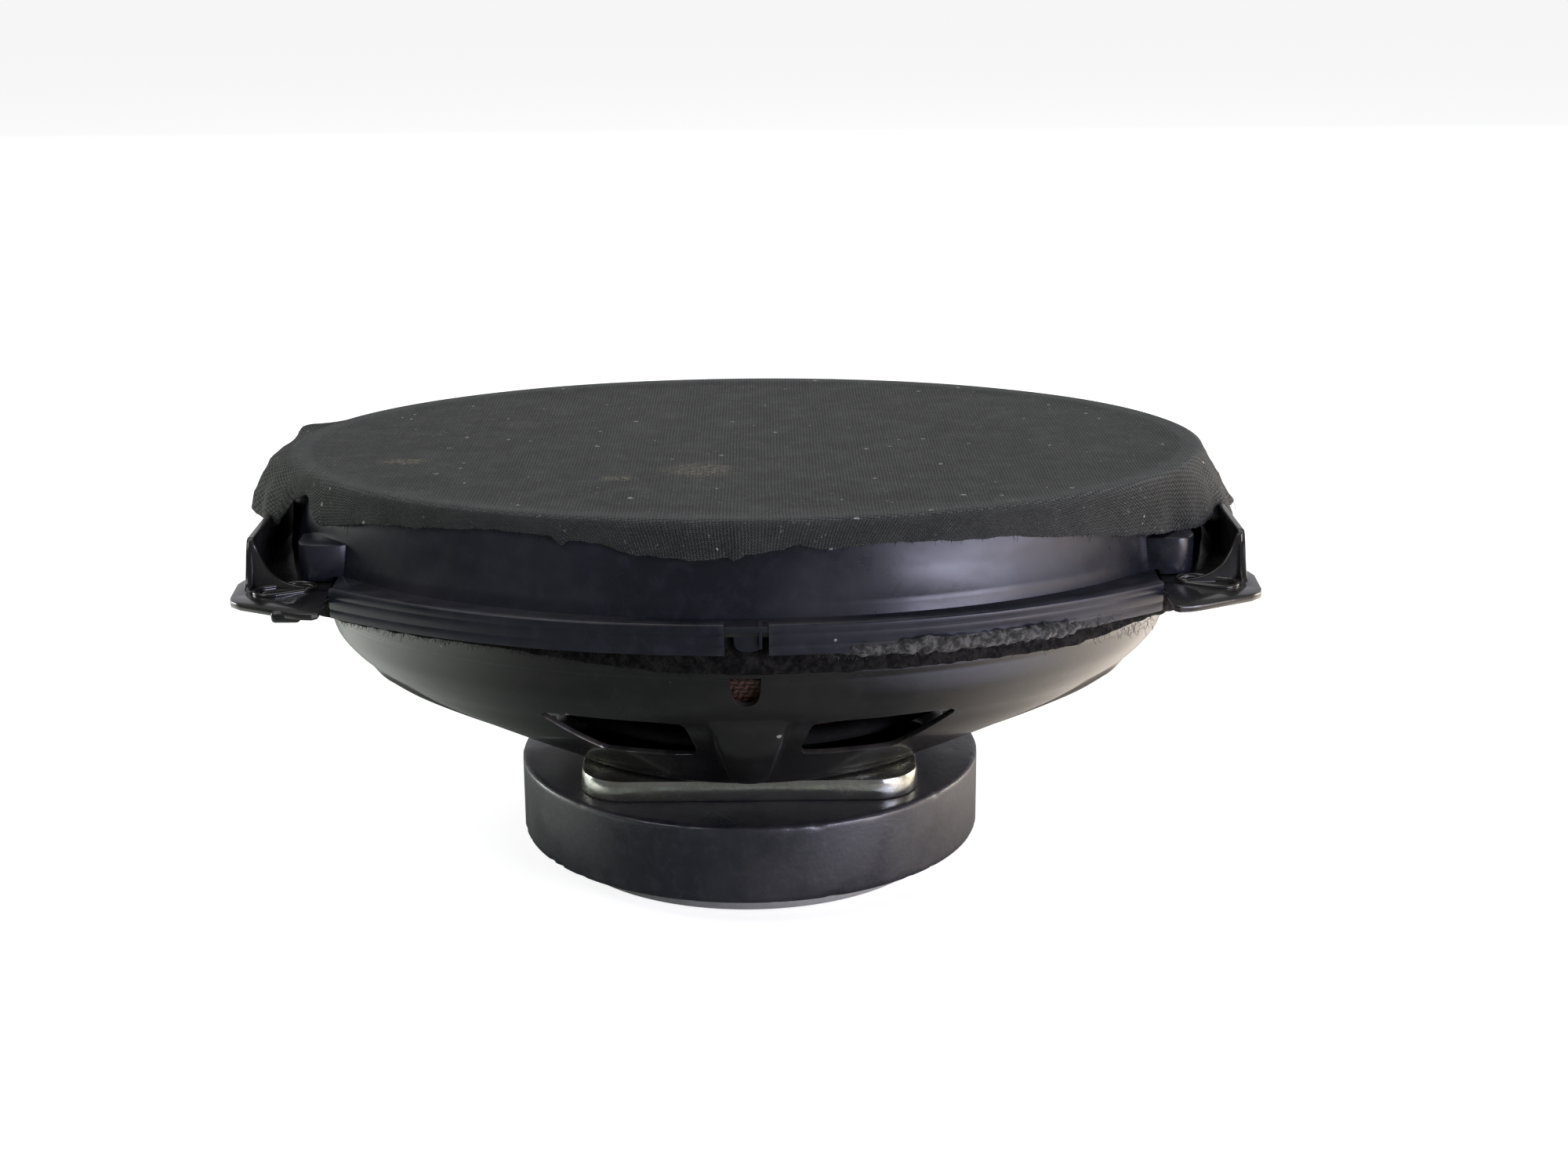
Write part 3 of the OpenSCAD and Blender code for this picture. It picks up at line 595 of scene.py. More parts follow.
def makeClothMaterial():
    material, tree, shader, place = startMaterial("grille_cloth")
    flat = addNode(tree, "ShaderNodeUVMap", {"uv_map": "flat"}).outputs["UV"]
    weave = addGroup(tree, "weave", Vector=flat, Pitch=clothSettings["weavePitch"])
    tone = addEffect(tree, "mottle", Vector=place, Scale=34.0, Low=0.3, High=0.7)
    colour = addMix(tree, tone, (0.044, 0.049, 0.045), (0.062, 0.068, 0.062))
    thread = addEffect(tree, "mottle", Vector=flat, Scale=900.0, Low=0.35, High=0.75)
    colour = addLayer(tree, colour, thread, 0.5, (0.14, 0.15, 0.135))
    for stretch in ((90.0, 1300.0, 1.0), (1300.0, 130.0, 1.0)):  # single yarns are lighter for a few millimetres
        mapped = addNode(tree, "ShaderNodeMapping", Vector=flat, Scale=stretch).outputs["Vector"]
        yarn = addEffect(tree, "mottle", Vector=mapped, Scale=1.0, Low=0.5, High=0.72)
        colour = addLayer(tree, colour, yarn, 0.40, (0.17, 0.175, 0.155))
    colour = addLayer(tree, colour, weave.outputs["Gap"], 0.95, (0.004, 0.004, 0.004))
    rim = addNode(tree, "ShaderNodeAttribute", {"attribute_name": "rimLand"}).outputs["Fac"]
    colour = addLayer(tree, colour, rim, 0.30, (0.12, 0.135, 0.13))
    dust = addEffect(tree, "dust", Vector=place, Scale=120.0, Amount=0.34)
    colour = addMix(tree, dust, colour, (0.15, 0.155, 0.145))
    for spot, size in clothSettings["smears"]:
        smear = addEffect(tree, "smear", Vector=place, Place=spot, Size=size)
        colour = addLayer(tree, colour, addMath(tree, "MULTIPLY", smear, thread), 0.9, (0.36, 0.32, 0.23))
    lint = addEffect(tree, "specks", Vector=place, Scale=380.0, Size=0.22, Share=0.12)
    colour = addLayer(tree, colour, lint, 0.75, (0.62, 0.62, 0.60))
    glint = addEffect(tree, "specks", Vector=place, Scale=1100.0, Size=0.42, Share=0.10)
    colour = addLayer(tree, colour, glint, 0.35, (0.34, 0.34, 0.31))
    tree.links.new(colour, shader.inputs["Base Color"])
    tree.links.new(addMath(tree, "MULTIPLY_ADD", rim, -0.12, 0.9), shader.inputs["Roughness"])
    shader.inputs["Sheen Weight"].default_value = 0.18
    shader.inputs["Sheen Roughness"].default_value = 0.45
    shader.inputs["Specular IOR Level"].default_value = 0.25
    addBump(tree, shader, weave.outputs["Height"], 1.0, 0.0003)
    return material


def makeWovenMaterial(name, threadColour, gapColour, pitch, turn, rough=0.6, gapShare=0.8, specular=0.4):
    # resin cloth or mesh; the mapping turns the weave
    material, tree, shader, place = startMaterial(name)
    mapped = addNode(tree, "ShaderNodeMapping", Vector=place)
    mapped.inputs["Rotation"].default_value = turn
    weave = addGroup(tree, "weave", Vector=mapped.outputs["Vector"], Pitch=pitch)
    tone = addEffect(tree, "mottle", Vector=place, Scale=90.0)
    colour = addMix(tree, tone, threadColour, tuple(c * 0.7 for c in threadColour))
    colour = addLayer(tree, colour, weave.outputs["Gap"], gapShare, gapColour)
    dust = addEffect(tree, "dust", Vector=place, Scale=80.0, Amount=0.25)
    tree.links.new(addMix(tree, dust, colour, (0.25, 0.22, 0.18)), shader.inputs["Base Color"])
    tree.links.new(addMath(tree, "MULTIPLY_ADD", tone, 0.15, rough), shader.inputs["Roughness"])
    shader.inputs["Specular IOR Level"].default_value = specular
    addBump(tree, shader, weave.outputs["Height"], 0.8, 0.0002)
    return material


def makeFluffMaterial(name, dark, light, scale):
    material, tree, shader, place = startMaterial(name)
    tone = addEffect(tree, "mottle", Vector=place, Scale=scale, Low=0.4, High=0.62)
    colour = addMix(tree, tone, dark, light)
    fine = addEffect(tree, "specks", Vector=place, Scale=900.0, Size=0.5, Share=0.3)
    colour = addLayer(tree, colour, fine, 0.4, light)
    tree.links.new(colour, shader.inputs["Base Color"])
    tree.links.new(addMath(tree, "MULTIPLY_ADD", tone, 0.05, 0.92), shader.inputs["Roughness"])
    shader.inputs["Specular IOR Level"].default_value = 0.15
    grain = addEffect(tree, "grain", Vector=place, Scale=1100.0)
    addBump(tree, shader, grain, 0.9, 0.0005)
    return material


materials = {name: makeFinish(name, settings) for name, settings in finishes.items()}
materials["grille_cloth"] = makeClothMaterial()
materials["spider_cloth"] = makeWovenMaterial("spider_cloth", (0.12, 0.045, 0.030), (0.012, 0.005, 0.004), 0.0011,
    (0, 0, 0))
materials["mesh_cloth"] = makeWovenMaterial("mesh_cloth", (0.14, 0.060, 0.040), (0.003, 0.002, 0.002), 0.0013,
    (math.radians(90), math.radians(38), 0), 0.35, 0.95, 0.6)
materials["foam"] = makeFluffMaterial("foam", (0.007, 0.007, 0.007), (0.026, 0.024, 0.022), 520.0)
materials["fluff"] = makeFluffMaterial("fluff", (0.055, 0.055, 0.052), (0.16, 0.16, 0.15), 760.0)
print("finishes mixed")

# carried-over nodes get their finish from their slot
for row in frame["record"]["subparts"]:
    for slot in bpy.data.objects[row["node"]].material_slots:
        slot.material = materials[row["material_slot"]]

# painted shade: a darker, nearly unreflecting copy of the black finish, for parts that lie in shade deep inside the
# basket
materials["painted_shade_black"] = makeFinish("painted_shade_black", {"base": (0.004, 0.004, 0.004), "second": (0.008, 0.008, 0.008),
    "scale": 60, "rough": (0.7, 0.85), "specular": 0.08, "grain": 700, "depth": 0.2, "dust": 0.02})
for slot in bpy.data.objects["spider_ring"].material_slots:
    slot.material = materials["painted_shade_black"]

motorSettings = {
    "plateHalf": 39, "plateCorner": 10.5, "plateLow": 23.9, "plateHigh": 29.0, "hole": 20.9,
    "rivetCircle": 30, "rivetRadius": 2.2,
    "magnetRadius": 55, "magnetHole": 30, "magnetLow": 5.7, "magnetHigh": 23.9, "sideRows": 24, "chipDepth": 1.5,
    "backLine": [(5.2, 0), (45.0, 0), (45.6, 0.25), (45.8, 0.8), (45.8, 5.0), (45.6, 5.5), (45.2, 5.7), (18.7, 5.7),
        (18.7, 28.4), (18.5, 28.85), (18.1, 29.0), (3.0, 29.0), (2.7, 28.7), (2.7, 4.5), (5.2, 4.5)],
}


def makeMotor(s):
    outline = []
    inner = s["plateHalf"] - s["plateCorner"]
    for turn, sx, sy in ((0, 1, 1), (90, -1, 1), (180, -1, -1), (270, 1, -1)):
        outline += arcPoints((sx * inner, sy * inner), s["plateCorner"], turn, turn + 90, 12)
    across = s["rivetCircle"] * math.sqrt(0.5)
    rivets = [arcPoints((sx * across, sy * across), s["rivetRadius"], 0, 345, 23) for sx, sy in quarters]
    bm = plateMesh([outline, ovalPoints(s["hole"], s["hole"], 96)] + rivets, s["plateLow"], s["plateHigh"], 0.8)
    for v in bm.verts:  # pressed edge leans in slightly towards the top
        lean = 1 - 0.006 * smoothStep(s["plateLow"], s["plateHigh"], v.co.z)
        if max(abs(v.co.x), abs(v.co.y)) > 30:
            v.co.x *= lean
            v.co.y *= lean
    makePiece("front_plate", bm, "zinc_plate", "top_plate")

    r, hole, low, high, rows = s["magnetRadius"], s["magnetHole"], s["magnetLow"], s["magnetHigh"], s["sideRows"]
    line = [(hole, low), (r - 0.7, low), (r - 0.2, low + 0.25), (r, low + 0.7)]
    line += [(r, low + 0.7 + (high - low - 1.4) * i / rows) for i in range(1, rows)]
    line += [(r, high - 0.7), (r - 0.2, high - 0.25), (r - 0.7, high), (r - 2, high), (hole, high)]
    bm = bmesh.new()
    spinRound(bm, line, 360, True)
    for v in bm.verts:  # ground sides are a little uneven and the edges are chipped
        radius = math.hypot(v.co.x, v.co.y)
        if radius > r - 2.5:
            near = max(0, 1 - min(v.co.z - low, high - v.co.z) / 1.4)
            chip = max(0, noise.noise(v.co * 0.32) - 0.22) * s["chipDepth"] * near + 0.04 * noise.noise(v.co * 0.11)
            pull = max(0, chip) / radius
            v.co.x -= v.co.x * pull
            v.co.y -= v.co.y * pull
    makePiece("magnet_ring", bm, "ferrite", "magnet", 50)

    bm = bmesh.new()
    spinRound(bm, s["backLine"], 192, True)
    # the back plate takes the lighter zinc copy, with its painted light
    makePiece("back_plate", bm, "zinc_plate", "yoke", finish=["zinc_back_painted_light"])


makeMotor(motorSettings)
print("motor made")

basketSettings = {
    "steps": 288, "wall": 1.15, "flangeHigh": 78.3, "flangeLow": 76.8, "arc": 150, "arcCentre": 67.5, "sideX": 89.9,
    "panelEdge": 1.5, "panelFoot": 33.0, "panelTop": (48.6, 51.2), "lipOut": 108.9, "lipWall": 1.5,
    "bowl": [(39.0, 39.0, 29.05), (44.0, 41.0, 29.2), (47.4, 42.1, 29.9), (49.2, 42.6, 31.0), (61, 46, 35),
        (79, 54.5, 43), (88, 59, 48.5), (91.8, 61.3, 51), (95, 64, 54), (97.8, 67.2, 58), (98.9, 69.3, 62.6),
        (99.0, 69.6, 63.6), (99.8, 70.7, 64.1), (100.2, 71.6, 68), (100.4, 72, 76.9)],
    "window": [(12.6, 39.2), (31, 39.1), (33.4, 40.2), (44.8, 49.0), (45.4, 50.4), (44.2, 51.2), (15.2, 50.3),
        (13.6, 48.8), (11.2, 41)],
    "vent": [(2.9, 63.9), (2.8, 60.6)] + arcPoints((-0.4, 59.0), 2.9, -8, -172, 12) + [(-3.6, 60.6), (-3.7, 63.9)],
    "ear": [(89.9, -67), (91, -68.1), (93.4, -67.8), (95.8, -66.8), (107.6, -60.4), (110, -58), (110.8, -55),
        (111.4, -44.6), (110.6, -41.4), (108.9, -38)],
    "slot": (100, -49.5, 12.5, 6.0, -29),
}


def legHalf(y):
    # half the width of a leg, which widens outwards
    return 5.9 + (abs(y) - 47) * 0.215


def legDepth(x, y):
    # how far a point lies inside the raised panel of the nearest leg or arm
    return max(legHalf(y) - abs(x), 12 + (abs(x) - 40) * 0.214 - abs(y))


def slotOutline(s, grow=0.0, count=10):
    x, y, length, width, turn = s
    half = length / 2 - width / 2
    points = arcPoints((half, 0), width / 2 + grow, -90, 90, count) + arcPoints((-half, 0), width / 2 + grow, 90,
        270, count)
    c, d = math.cos(math.radians(turn)), math.sin(math.radians(turn))
    return [(x + px * c - py * d, y + px * d + py * c) for px, py in points]


def makeBasket(s):
    bm = bmesh.new()
    line = [(22.3, 22.3, 29.05), (30, 30, 29.05), (37.4, 37.4, 29.05)] + smoothLine(s["bowl"], 1.5)
    spinOval(bm, line, s["steps"])
    # cut lines along the sides of the raised panels
    for sx, sy in quarters:
        for shift in (0.0, s["panelEdge"]):
            for a, b in (((3.535 - shift, 36), (13.0 - shift, 80)), ((40, 12 - shift), (110, 27 - shift))):
                near = []
                for f in bm.faces:
                    c = f.calc_center_median()
                    if 29.5 < c.z < 53 and c.x * sx > -1 and c.y * sy > -1 and legDepth(c.x, c.y) > -6:
                        near.append(f)
                bisectFaces(bm, near, (sx * a[0], sy * a[1], 0), (sx * (b[1] - a[1]), -sy * (b[0] - a[0]), 0))
    bm.normal_update()
    moves = []
    for v in bm.verts:
        depth = legDepth(v.co.x, v.co.y)
        raised = smoothStep(0, s["panelEdge"], depth) * (1 - smoothStep(*s["panelTop"], v.co.z))
        height = 1.2 + 0.3 * (1 - smoothStep(34, 50, v.co.z))
        foot = s["panelFoot"]
        if abs(v.co.x) < 20:  # the legs are rounded across, with rounded lower corners
            across = min(1, abs(v.co.x) / max(1, legHalf(v.co.y)))
            raised *= 0.45 + 0.55 * math.sqrt(1 - across * across)
            height = 1.5 + 2.3 * (1 - smoothStep(34, 51, v.co.z))
            foot += 1.3 * across ** 4
        raised *= smoothStep(foot, foot + 1.3, v.co.z)
        if raised > 0:
            outward = v.normal if v.normal.z < 0 else -v.normal
            moves.append((v, outward * raised * height))
    for v, move in moves:
        v.co += move
    window = softCorners(s["window"], 0.2)
    for side in (-1, 1):
        for sx in (-1, 1):
            cutOpening(bm, [(sx * x, z) for x, z in window], side)
    cutOpening(bm, s["vent"], -1)
    # fine unevenness of the pressed sheet
    bm.normal_update()
    for v in bm.verts:
        v.co += v.normal * 0.05 * noise.noise(v.co * 0.06)
    for f in bm.faces:
        c = f.calc_center_median()
        if f.normal.dot(Vector((c.x, c.y, -30))) < 0:
            f.normal_flip()
    piece = makePiece("basket_bowl", bm, "black_enamel", "basket", 55)
    addModifiers(piece, s["wall"], 0.3, 60)

    sweep = math.degrees(math.asin(s["sideX"] / s["arc"]))
    front = arcPoints((0, s["arcCentre"]), s["arc"], -90, -90 + sweep, 40)
    quarter = front + s["ear"]
    right = quarter + [(x, -y) for x, y in reversed(quarter)]
    outline = right + [(-x, y) for x, y in reversed(right)]
    outline = [p for i, p in enumerate(outline) if (Vector(p) - Vector(outline[i - 1])).length > 0.01]
    bm = plateMesh([outline, ovalPoints(97.6, 71.4)] + [[(sx * x, sy * y) for x, y in slotOutline(s["slot"])] for sx,
        sy in quarters], s["flangeLow"], s["flangeHigh"], 0.35)
    makePiece("basket_flange", bm, "black_enamel", "basket", 40)

    # raised rims round the slots
    bm = bmesh.new()
    up = Vector((0, 0, 1))
    for sx, sy in quarters:
        around = [Vector((sx * x, sy * y, s["flangeHigh"] + 0.05)) for x, y in slotOutline(s["slot"], 0.45)]
        rings = []
        for i, p in enumerate(around):
            along = (around[(i + 1) % len(around)] - around[i - 1]).normalized()
            ring = bmesh.ops.create_circle(bm, segments=10, radius=0.5)["verts"]
            turn = Matrix((along.cross(up).normalized(), up, along)).transposed().to_4x4()
            bmesh.ops.transform(bm, matrix=Matrix.Translation(p) @ turn, verts=ring)
            rings.append(list({e for v in ring for e in v.link_edges}))
        for a, b in zip(rings, rings[1:] + rings[:1]):
            bmesh.ops.bridge_loops(bm, edges=a + b)
    bmesh.ops.recalc_face_normals(bm, faces=bm.faces)
    makePiece("slot_rims", bm, "black_enamel", "basket", 60)

    # upright end lips, closed by a curved web at each end
    bm = bmesh.new()
    for sx in (1, -1):
        ends = smoothLine([(-50.4, 78.0), (-48.4, 79.6), (-46.8, 82.6), (-45.4, 86.0), (-43.8, 88.1), (-41.5, 88.3)],
            0.6)
        outline = ends + [(-y, z) for y, z in reversed(ends)] + [(50.4, 77.2), (-50.4, 77.2)]
        low, high = sorted((sx * (s["lipOut"] - s["lipWall"]), sx * s["lipOut"]))
        addMesh(bm, plateMesh([outline], low, high, 0.35, standAcross))
        for sy in (1, -1):
            web = smoothLine([(96.2, 78.1), (100.0, 79.0), (103.2, 80.9), (105.4, 83.8), (107.0, 87.4),
                (108.3, 88.2)], 0.6) + [(108.7, 77.4), (96.2, 77.4)]
            flat = [(sx * x, z) for x, z in web]
            part = plateMesh([flat], 43.6, 45.0, 0.4, standAlong)
            bmesh.ops.scale(part, vec=(1, -sy, 1), verts=part.verts)
            for v in part.verts:  # the foot of the web spreads away from the lip
                v.co.y += sy * 2.4 * (1 - smoothStep(78, 87, v.co.z))
            bmesh.ops.recalc_face_normals(part, faces=part.faces)
            addMesh(bm, part)
    makePiece("end_lips", bm, "black_enamel", "basket", 50)

    # small pressed studs under the ears
    bm = boxesMesh([(-97, -65.01, 76.9), (97, 65.01, 76.9)], (6.2, 2.2, 2.6), 0.9, 3)
    makePiece("ear_studs", bm, "black_enamel", "basket", 60)

    # lugs that carry the terminal board
    bm = boxesMesh([(-10.8, 59.4, 48.1), (10.8, 59.4, 48.1)], (3, 8.6, 5), 0.5, 2)
    makePiece("board_lugs", bm, "black_enamel", "basket", 60)


makeBasket(basketSettings)
print("basket made")

ringSettings = {
    "centre": 67.5, "radius": 150, "shelfOut": 2.2, "skirtOut": 2.4, "skirtHalf": 89.5, "notchHalf": 4.6,
    "wall": [(106.9, 79.0, 78.35), (106.75, 78.8, 79.3), (106.45, 78.2, 81.6), (106.4, 78.05, 82.6),
        (106.25, 77.9, 82.9), (106.0, 76.2, 89.5), (105.75, 74.7, 96.6), (105.5, 74.2, 98.0), (104.9, 73.6, 98.7),
        (104.2, 72.9, 98.85), (100.2, 68.9, 98.85), (99.7, 68.4, 98.6), (99.6, 68.3, 96.6), (99.9, 68.6, 96.4),
        (102.8, 71.5, 96.4), (103.3, 72.0, 96.0), (104.1, 73.0, 90.0), (104.7, 76.8, 78.35)],
    "skirt": [(-2.6, 73.6), (-2.4, 73.4), (1.6, 73.4), (2.15, 73.65), (2.32, 74.2), (2.35, 75.4), (2.28, 75.6),
        (2.28, 75.8), (2.4, 76.0), (2.42, 77.9), (2.36, 78.1), (2.36, 78.3), (2.42, 78.5), (2.42, 79.7), (2.3, 80.0),
        (2.0, 80.2), (0.3, 80.2), (0.3, 76.6), (-2.4, 76.6), (-2.6, 76.4)],
}


def makeRing(s):
    bm = bmesh.new()
    spinOval(bm, s["wall"], 288, True)
    makePiece("ring_wall", bm, "navy_plastic", "ring", 40)

    edgeRadius = s["radius"] + s["shelfOut"]
    sweep = math.degrees(math.asin(s["skirtHalf"] / edgeRadius))
    front = arcPoints((0, s["centre"]), edgeRadius, -90 - sweep, -90 + sweep, 80)
    rear = [(-x, -y) for x, y in front]
    bm = plateMesh([front + rear, ovalPoints(105.2, 77.3)], 78.4, 79.7, 0.3)
    makePiece("ring_shelf", bm, "navy_plastic", "ring", 40)

    bm = bmesh.new()
    block = arcPoints((93.9, 40.1), 4.5, 0, 90, 10) + [(88.6, 44.6), (86.6, 43.0), (96.0, 33.0), (98.4, 34.0)]
    for sx, sy in quarters:
        addMesh(bm, plateMesh([[(sx * x, sy * y) for x, y in block]], 78.4, 86.85, 0.5))
    makePiece("ring_corners", bm, "navy_plastic", "ring", 40)

    end, gap = (math.asin(half / (s["radius"] + s["skirtOut"])) for half in (s["skirtHalf"], s["notchHalf"]))
    profile = [(s["radius"] + r, z) for r, z in s["skirt"]]
    bm = bmesh.new()
    spinArc(bm, profile, s["centre"], -end, -gap, 70)
    spinArc(bm, profile, s["centre"], gap, end, 70)
    spinArc(bm, profile, -s["centre"], -end, end, 140)
    makePiece("clip_skirts", bm, "navy_plastic", "ring", 40)

    # the narrow key that stands in the front notch
    key = smoothLine([(-2.7, 79.6), (-2.7, 76.0), (-2.2, 74.4), (-0.9, 73.7), (1.6, 73.7), (2.7, 74.4), (3.2, 76.0),
        (3.2, 79.6)], 0.7)
    bm = plateMesh([key], 80.6, 82.4, 0.3, standAlong)
    addMesh(bm, plateMesh([[(2.5, 74.6), (3.3, 74.6), (3.3, 79.9), (2.5, 79.9)]], 80.6, 83.6, 0.25, standAlong))
    makePiece("ring_key", bm, "navy_plastic", "ring", 40)


makeRing(ringSettings)
print("trim ring made")


def makeCloth(s):
    # the sheet is laid out flat, its flat place is kept for the weave, and then the edge is folded down
    a, b = s["rimHalf"]
    bm = bmesh.new()
    inner = [(a - s["land"] - d, b - s["land"] - d) for d in (66, 60, 52, 44, 36, 28, 21, 15, 10, 6, 3, 1)]
    land = [(a - s["land"] + d, b - s["land"] + d) for d in (0, 0.8, 1.8, 3.0, 4.1)]
    rows = inner + land + [(a + 0.4 * k / 3 - 0.4, b + 0.4 * k / 3 - 0.4) for k in range(3)]
    flap = [(a + 0.01 + k, b + 0.01 + k) for k in range(s["flapRows"] + 1)]
    line = [(x, y, 0) for x, y in rows + flap]
    spinOval(bm, line, s["steps"])
    hole = [e for e in bm.edges if e.is_boundary and e.verts[0].co.length < a - 60]
    bmesh.ops.contextual_create(bm, geom=hole)
    centre = [f for f in bm.faces if len(f.verts) > 8]
    bmesh.ops.poke(bm, faces=centre)
    uv = bm.loops.layers.uv.new("flat")
    rim = bm.verts.layers.float.new("rimLand")
    place = {}
    for v in bm.verts:
        t = math.atan2(v.co.y / b, v.co.x / a)
        beyond = math.hypot(v.co.x, v.co.y) - math.hypot(a * math.cos(t), b * math.sin(t))
        turn = math.degrees(math.atan2(v.co.y / (b + max(0, beyond)), v.co.x / (a + max(0, beyond))))
        out = Vector((math.cos(math.radians(turn)) / a, math.sin(math.radians(turn)) / b, 0)).normalized()
        edgePoint = Vector((a * math.cos(math.radians(turn)), b * math.sin(math.radians(turn)), s["top"]))
        row = (v.co.xy - edgePoint.xy).dot(out.xy)
        place[v] = (turn, out, edgePoint, row, v.co.copy())
    for v, (turn, out, edgePoint, row, flat) in place.items():
        if row > 0.005:
            share = min(1, row / (s["flapRows"]))
            deep = tableValue(s["edge"], turn, 1)
            # ragged cut: slow waves, small steps and single threads pulled out
            rag = 0.55 * noise.noise(Vector((turn * 0.13, 3.1, 0))) + 0.32 * noise.noise(Vector((turn * 0.9, 7.7,
                0))) + 0.22 * noise.noise(Vector((turn * 4.1, 1.3, 0)))
            down = share * (deep + rag * (0.6 + deep * 0.06))
            first, last = (math.radians(tableValue(s["edge"], turn, k)) for k in (2, 3))
            away = drop = 0
            for k in range(12):
                angle = first + (last - first) * share * (k + 0.5) / 12
                away += math.sin(angle) * down / 12
                drop += math.cos(angle) * down / 12
            loose = smoothStep(7, 14, deep)
            away += share * (0.22 * math.sin(turn * 0.9)
                + 0.5 * noise.noise(Vector((turn * 0.11, 0.15 * down, 5)))) * (0.8
                + 1.2 * loose) + loose * share * (0.6 * math.sin(turn * 0.5 + 0.6)
                + 1.1 * noise.noise(Vector((turn * 0.07, down * 0.42, 9))))
            wall = down * 0.24 * abs(math.sin(math.radians(turn))) ** 2
            v.co = edgePoint + out * max(0.35 + away, 0.3 + wall) - Vector((0, 0, 0.45 + drop))
            v[rim] = 0.45 * (1 - smoothStep(0.4, 1.5, down))
        else:
            depth = -row
            v.co.z = s["top"] - 0.35 * (1 - smoothStep(0.0, 1.1, depth)) ** 2 - 0.28 * smoothStep(s["land"] - 0.6,
                s["land"] + 3.5, depth) + 0.07 * noise.noise(v.co * 0.035)
            v[rim] = 1 - smoothStep(s["land"] - 1.4, s["land"] + 0.6, depth)
    for f in bm.faces:
        for loop in f.loops:
            loop[uv].uv = place[loop.vert][4].xy * mm
    if sum(f.normal.z for f in bm.faces) < 0:
        bmesh.ops.reverse_faces(bm, faces=bm.faces)
    bm.normal_update()
    piece = makePiece("cloth_sheet", bm, "grille_cloth", "cloth", 180)
    m = piece.modifiers.new("wall", "SOLIDIFY")
    m.thickness, m.offset = 0.28 * mm, -1


def makeFray():
    # loose thread ends along the cut edge
    source = bpy.data.objects["cloth_sheet"].data
    edgeCount = {}
    for poly in source.polygons:
        for key in poly.edge_keys:
            edgeCount[key] = edgeCount.get(key, 0) + 1
    points = sorted({i for key, n in edgeCount.items() if n == 1 for i in key})
    rng = random.Random(11)
    bm = bmesh.new()
    threads = []
    for i in points:
        if rng.random() < 0.55:
            continue
        p = source.vertices[i].co / mm
        out = Vector((p.x, p.y * 1.6, 0)).normalized()
        reach = rng.uniform(0.25, 0.95) if rng.random() < 0.92 else rng.uniform(1.2, 2.6)
        lean = out * rng.uniform(0.0, 0.5) + Vector((rng.uniform(-0.5, 0.5), rng.uniform(-0.5, 0.5), -1))
        mid = p + lean.normalized() * reach * 0.5 + out * 0.05
        tip = mid + (lean + Vector((rng.uniform(-0.4, 0.4), rng.uniform(-0.4, 0.4), 0))).normalized() * reach * 0.5
        threads.append([p + Vector((0, 0, 0.15)), mid, tip])
    addThreads(bm, threads, 0.055)
    makePiece("cloth_fray", bm, "grille_cloth", "cloth", 180, finish=["foam"])


def addThreads(bm, threads, radius):
    # thin three-sided threads, closed at both ends, made a few at a time
    for first in range(0, len(threads), 40):
        part = bmesh.new()
        for points in threads[first:first + 40]:
            rings = []
            for p in points:
                ring = bmesh.ops.create_circle(part, segments=3, radius=radius,
                    cap_ends=p in (points[0], points[-1]))["verts"]
                bmesh.ops.translate(part, vec=p, verts=ring)
                rings.append(ring)
            for a, b in zip(rings, rings[1:]):
                for k in range(3):
                    part.faces.new((a[k], a[(k + 1) % 3], b[(k + 1) % 3], b[k]))
        bmesh.ops.recalc_face_normals(part, faces=part.faces)
        addMesh(bm, part)


makeCloth(clothSettings)
makeFray()
print("grille cloth made")

gasketSettings = {"arc": 150, "centre": 67.5, "low": 68.3, "high": 76.7, "tufts": 2600, "fluffStart": 18.0,
    "fluffEnd": 81.0, "fluffHalf": (2.7, 1.75), "fluffX": (14, 80)}


